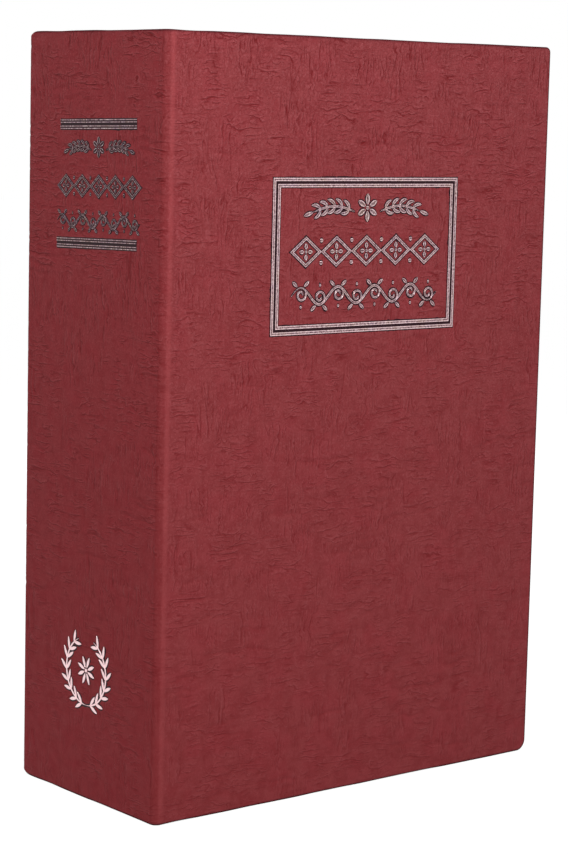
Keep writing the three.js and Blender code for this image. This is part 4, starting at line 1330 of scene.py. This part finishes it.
# %% Copies with rounded edges
def dressed(node, material, width, segments=3):
    """A copy of a CAD part whose doubled corners are joined and whose sharp edges are rounded."""
    def join(work):
        bmesh.ops.remove_doubles(work, verts=work.verts, dist=0.001 * MM)
        bmesh.ops.dissolve_limit(work, angle_limit=math.radians(1), verts=work.verts, edges=work.edges)

    mesh = reworked(nodes[node].data.copy(), join)
    piece = show(mesh, node + "_dressed", material, nodes[node]["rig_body"], [node])
    bevel = piece.modifiers.new("rounded_edges", "BEVEL")
    bevel.width, bevel.segments, bevel.limit_method = width * MM, segments, "ANGLE"
    bevel.angle_limit, bevel.harden_normals = math.radians(40), True


for node in ("lid_panel", "tray"):
    dressed(node, powder_coat, 0.35)
for node in ("lid_hinge_leaf", "tray_hinge_leaf"):
    dressed(node, powder_coat, 0.2)
for node in ("lock_strike", "lock_cam"):
    dressed(node, zinc_plate, 0.25)

# %% [markdown]
# ## Turned parts
# The lock's housing and plug, its washers, the rivets and the hinge pin come from a lathe or a press,
# so each is a stack of circles: a radius for each place along the axis. That gives them true curves,
# lips and domes where the measured parts have plain steps. Sixty-four points make a circle here.

# %% Turning
AROUND = 64
circle = np.stack([np.cos(np.linspace(0, 2 * math.pi, AROUND, endpoint=False)),
                   np.sin(np.linspace(0, 2 * math.pi, AROUND, endpoint=False))], 1)


def turned(steps, centre, axis=1, closed=False, thread=0.0, pitch=1.0):
    """A solid turned about an axis through centre, from rows of radius and place along the axis. Rows
    with a third number of 1 carry a thread: the radius swings with place over pitch less the turn."""
    steps = np.array([tuple(row) + (0,) * (3 - len(row)) for row in steps], float)
    turn = np.arange(AROUND) / AROUND
    cut = thread / 2 * (1 - np.cos(2 * math.pi * (steps[:, 1, None] / pitch - turn))) * steps[:, 2, None]
    radius = steps[:, 0, None] - cut
    return stacked(np.asarray(centre) + radius[:, :, None] * circle, steps[:, 1], axis, closed)


def eased(radius, place, by, outwards, count=5):
    """Rows for a rounded outer corner of a turned part, from its flat end to its side."""
    turn = np.linspace(0, QUARTER, count)
    return [(radius - by * (1 - math.sin(t)), place + outwards * by * (1 - math.cos(t))) for t in turn]


# %% The lock
lock_low, lock_high = box_of("lock_housing")
LOCK = ((lock_low[0] + lock_high[0]) / 2, (lock_low[2] + lock_high[2]) / 2)
lock_face, barrel_end = lock_low[1], lock_high[1]
lid_face = lock_face + 2
BORE, HEAD_ROOM, BARREL, FLANGE, FLAT = 4.8, 5.9, 7.0, 10.0, 6.0
THREAD_DEPTH, THREAD_PITCH = 0.35, 1.0
threaded = [(BARREL, y, 1) for y in np.arange(lid_face + 1.2, barrel_end - 0.4, THREAD_PITCH / 10)]
mouth = [(0, 0.25), (0.2, 0.04), (0.5, 0), (1.3, 0.02), (1.6, 0.22), (1.9, 0.06)]
housing_steps = [(BORE, barrel_end - 0.2), (BORE, lock_face + 1.8), (HEAD_ROOM, lock_face + 1.8),
                 *[(HEAD_ROOM + out, lock_face + deep) for out, deep in mouth],
                 (FLANGE - 1.4, lock_face + 0.05), *eased(FLANGE, lock_face + 0.1, 0.8, 1),
                 (FLANGE, lid_face - 0.15), (FLANGE - 0.15, lid_face),
                 (BARREL, lid_face), (BARREL, lid_face + 1.1), *threaded,
                 (BARREL - 0.4, barrel_end), (BORE + 0.2, barrel_end)]
housing = turned(housing_steps, LOCK, closed=True, thread=THREAD_DEPTH, pitch=THREAD_PITCH)
flats = [block(LOCK[0] + side * FLAT, LOCK[0] + side * (FLAT + 3), LOCK[1] - 8, LOCK[1] + 8,
               lid_face, barrel_end + PAST) for side in (-1, 1)]
show(carved(housing, flats), "lock_housing_turned", nickel_plate, "lid", ["lock_housing"])

plug_low, plug_high = box_of("lock_plug")
PLUG, PLUG_HEAD, SHANK = 4.5, 5.6, 5.0
KEY_WIDE, KEY_TALL = 1.5, 6.6
ROOM = 0.3
plug_face = plug_low[1]
wafer_boxes = [box_of(f"lock_wafer_{k}") for k in range(1, 5)]
plug_steps = [(3.9, plug_face + 0.12), (4.3, plug_face + 0.1), (4.6, plug_face),
              *eased(PLUG_HEAD, plug_face, 0.35, 1), (PLUG_HEAD, plug_face + 1.1),
              (PLUG_HEAD - 0.1, plug_face + 1.2), (PLUG, plug_face + 1.2), (PLUG, barrel_end)]
plug = turned(plug_steps, LOCK)
half = SHANK / 2
shank = block(LOCK[0] - half, LOCK[0] + half, LOCK[1] - half, LOCK[1] + half,
              barrel_end - PAST, plug_high[1], 0.4)
plug = carved(plug, [shank], "UNION")
half, tall = KEY_WIDE / 2, KEY_TALL / 2
key_outline = np.array(LOCK) + [
    [-half, -tall + 0.3], [-0.45, -tall], [0.45, -tall], [half, -tall + 0.3], [half, -0.9], [0.3, -0.6],
    [0.3, 0.5], [half, 0.8], [half, tall - 0.3], [0.45, tall], [-0.45, tall], [-half, tall - 0.3],
    [-half, 1.5], [-0.35, 1.2], [-0.35, -0.1], [-half, -0.4]]
key_room = prism(key_outline, plug_face - PAST, wafer_boxes[-1][1][1] + 0.4)
lead_in = stacked([LOCK + (key_outline - LOCK) * k for k in (1.25, 1.0)],
                  [plug_face - 0.1, plug_face + 0.35])
slots = [block(low[0] - ROOM, high[0] + ROOM, low[2] - 2, high[2] + 2, low[1] - ROOM, high[1] + ROOM)
         for low, high in wafer_boxes]
screw_low, screw_high = box_of("cam_screw")
screw_room = prism(np.array(LOCK) + 1.6 * circle, screw_low[1] - ROOM, plug_high[1] + PAST)
plug = carved(plug, [key_room, lead_in, screw_room, *slots])
show(plug, "lock_plug_turned", nickel_plate, "lock_cylinder", ["lock_plug"])

# %% Nut, washers and cam screw
nut_low, nut_high = box_of("lock_nut")
NUT = 11.0
six = np.stack([np.cos(np.arange(6) * math.pi / 3), np.sin(np.arange(6) * math.pi / 3)], 1)
nut = prism(np.array(LOCK) + NUT * six, nut_low[1], nut_high[1])
chamfer = turned([(NUT - 1.1, nut_low[1] - 0.05), (NUT + 0.3, nut_low[1] + 0.75),
                  (NUT + 0.3, nut_high[1] - 0.75), (NUT - 1.1, nut_high[1] + 0.05)], LOCK)
nut = carved(nut, [chamfer], "INTERSECT")
nut = carved(nut, [turned([(8.1, nut_low[1] - PAST), (8.1, nut_low[1]), (7.3, nut_low[1] + 0.6),
                           (7.3, nut_high[1] - 0.6), (8.1, nut_high[1]), (8.1, nut_high[1] + PAST)], LOCK)])
show(nut, "lock_nut_turned", turned_brass, "lid", ["lock_nut"])


def washer(node, inner, outer, body):
    """A pressed washer: a closed profile whose four corners are eased, turned round the lock's axis."""
    low, high = (corner[1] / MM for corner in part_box(node))
    by = 0.3 * (high - low)
    steps = [(inner, low + by), (inner + by, low), (outer - by, low), (outer, low + by), (outer, high - by),
             (outer - by, high), (inner + by, high), (inner, high - by)]
    show(turned(steps, LOCK, closed=True), node + "_pressed", zinc_plate, body, [node])


washer("lock_washer", 7.3, 10.4, "lid")
washer("cam_washer", 1.6, 4.2, "lock_cylinder")

SCREW, SCREW_HEAD, SCREW_HEAD_TALL = 1.3, 3.0, 1.8
head_start = screw_high[1] - SCREW_HEAD_TALL
dome = [(SCREW_HEAD * math.cos(t), head_start + 0.35 + (SCREW_HEAD_TALL - 0.35) * math.sin(t))
        for t in np.linspace(0, QUARTER * 0.97, 9)]
threaded = [(SCREW, y, 1) for y in np.arange(screw_low[1] + 0.3, head_start, 0.08)]
screw_steps = [(SCREW - 0.4, screw_low[1]), *threaded, (SCREW, head_start),
               (SCREW_HEAD - 0.1, head_start), *dome]
screw = turned(screw_steps, LOCK, thread=0.25, pitch=0.5)
cross = [prism(np.array(LOCK) + rounded_outline(-a, a, -b, b), head_start + 0.7, screw_high[1] + PAST)
         for a, b in ((1.6, 0.28), (0.28, 1.6))]
show(carved(screw, cross), "cam_screw_turned", zinc_plate, "lock_cylinder", ["cam_screw"])
print("the lock is", round(lock_high[1] - lock_low[1], 1), "mm deep")

# %% Rivets and hinge pin
RIVET, RIVET_HEAD, RIVET_TALL = 1.2, 2.2, 0.8


def domed(radius, place, tall, outwards, count=6):
    """Rows of a domed head, from near its top to its rim: radius times cosine, height times sine."""
    return [(radius * math.cos(t), place + outwards * tall * math.sin(t))
            for t in np.linspace(QUARTER * 0.96, 0, count)]


for kind, axis in (("lid", 1), ("tray", 0)):
    for k in range(1, 4):
        node = f"{kind}_rivet_{k}"
        low, high = box_of(node)
        middle = np.delete((low + high) / 2, axis)
        first, last = low[axis] + RIVET_TALL, high[axis] - RIVET_TALL
        steps = domed(RIVET_HEAD, first, RIVET_TALL, -1) + [(RIVET, first), (RIVET, last)]
        steps += domed(RIVET_HEAD, last, RIVET_TALL, 1)[::-1]
        show(turned(steps, middle, axis), node + "_domed", zinc_plate,
             nodes[node]["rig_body"], [node])

low, high = box_of("hinge_pin")
PIN, PIN_HEAD = 1.35, 1.9
pin_steps = domed(PIN_HEAD, low[2] + 0.7, 0.7, -1) + [(PIN_HEAD, low[2] + 1), (PIN, low[2] + 1)]
pin_steps += [(PIN, high[2] - 1), (PIN_HEAD, high[2] - 1)] + domed(PIN_HEAD, high[2] - 0.7, 0.7, 1)[::-1]
show(turned(pin_steps, (low + high)[:2] / 2, axis=2), "hinge_pin_turned", zinc_plate,
     "root", ["hinge_pin"])

# %% [markdown]
# ## Paper, lining and foam
# The paste-down paper sinks where the turned-in edges end, and that step shows on every such book. A
# ribbon of mull backs the fold. Four pads of foam tape hold the box to the back cover. Their cut sides
# draw in a little under the weight.

# %% The paste-down paper
SINK, PAPER_WAVE = 0.13, 0.02
paper_low, paper_high = box_of("front_endpaper")
window_right = RIGHT - TURN_IN
paper_x = grid_lines([paper_low[0], window_right - 2, window_right - 0.05, window_right,
                      window_right + 0.6, paper_high[0]], [1.6, 0.3, 0.05, 0.2, 1.4])
paper_z = grid_lines([paper_low[2], window_foot - 0.6, window_foot, window_foot + 0.05, window_foot + 2,
                      window_top - 2, window_top - 0.05, window_top, window_top + 0.6, paper_high[2]],
                     [1.4, 0.2, 0.05, 0.3, 1.6, 0.3, 0.05, 0.2, 1.4])
x, z = np.meshgrid(paper_x, paper_z, indexing="ij")
to_edge = np.minimum(window_right - x, np.minimum(z - window_foot, window_top - z))
visible = paper_high[1] - SINK * smooth(to_edge, -0.6, 1.6) - PAPER_WAVE * (1 + noise(x, z, 9, 9, 61))
hidden = np.where(to_edge > 0.02, paper_low[1] + 0.02, paper_high[1] - 0.28)
paste_down = slab(np.stack([x, hidden, z], -1), np.stack([x, visible, z], -1))
show(paste_down, "paste_down_paper", laid_paper, "front_cover", ["front_endpaper"])

# %% The fold's lining
LINING_BACK, LINING_FACE, LINING_RIPPLE = 0.37, 0.03, 0.02


def lining_ribbon(s_lines):
    """The mull behind the fold: it fills the room hollowed in the leather, to the leather's own inside."""
    z = np.linspace(FOOT + LINING_START, TOP - LINING_START, 160)
    s, z = np.meshgrid(s_lines, z, indexing="ij")
    x, y = inside_path(s)
    ripple = LINING_RIPPLE * noise(s, z, 0.7, 0.7, 71)
    return slab(np.stack([x, y - LINING_BACK, z], -1), np.stack([x, y - LINING_FACE + ripple, z], -1))


for side, start, end, count, bend in (("cover", COVER_EDGE + 0.25, FOLD_MIDDLE, 10, bend_at_cover),
                                      ("spine", FOLD_MIDDLE, SPINE_EDGE - 0.2, 8, bend_at_spine)):
    bend(show(lining_ribbon(np.linspace(start, end, count)), f"fold_lining_{side}_side",
              bookbinders_mull, stands_for=["joint_lining"]))

# %% Foam pads
PAD_CLEAR, PAD_DRAW_IN, PAD_CORNER = 0.05, 0.3, 1.2
for k in range(1, 5):
    low, high = box_of(f"mounting_pad_{k}")
    share = np.linspace(0, 1, 9)
    outlines = [rounded_outline(low[0] + d, high[0] - d, low[2] + d, high[2] - d, PAD_CORNER)
                for d in PAD_CLEAR + PAD_DRAW_IN * np.sin(math.pi * share)]
    pad = show(stacked(outlines, low[1] + share * (high[1] - low[1])), f"foam_pad_{k}",
               closed_cell_foam, "root", [f"mounting_pad_{k}"])
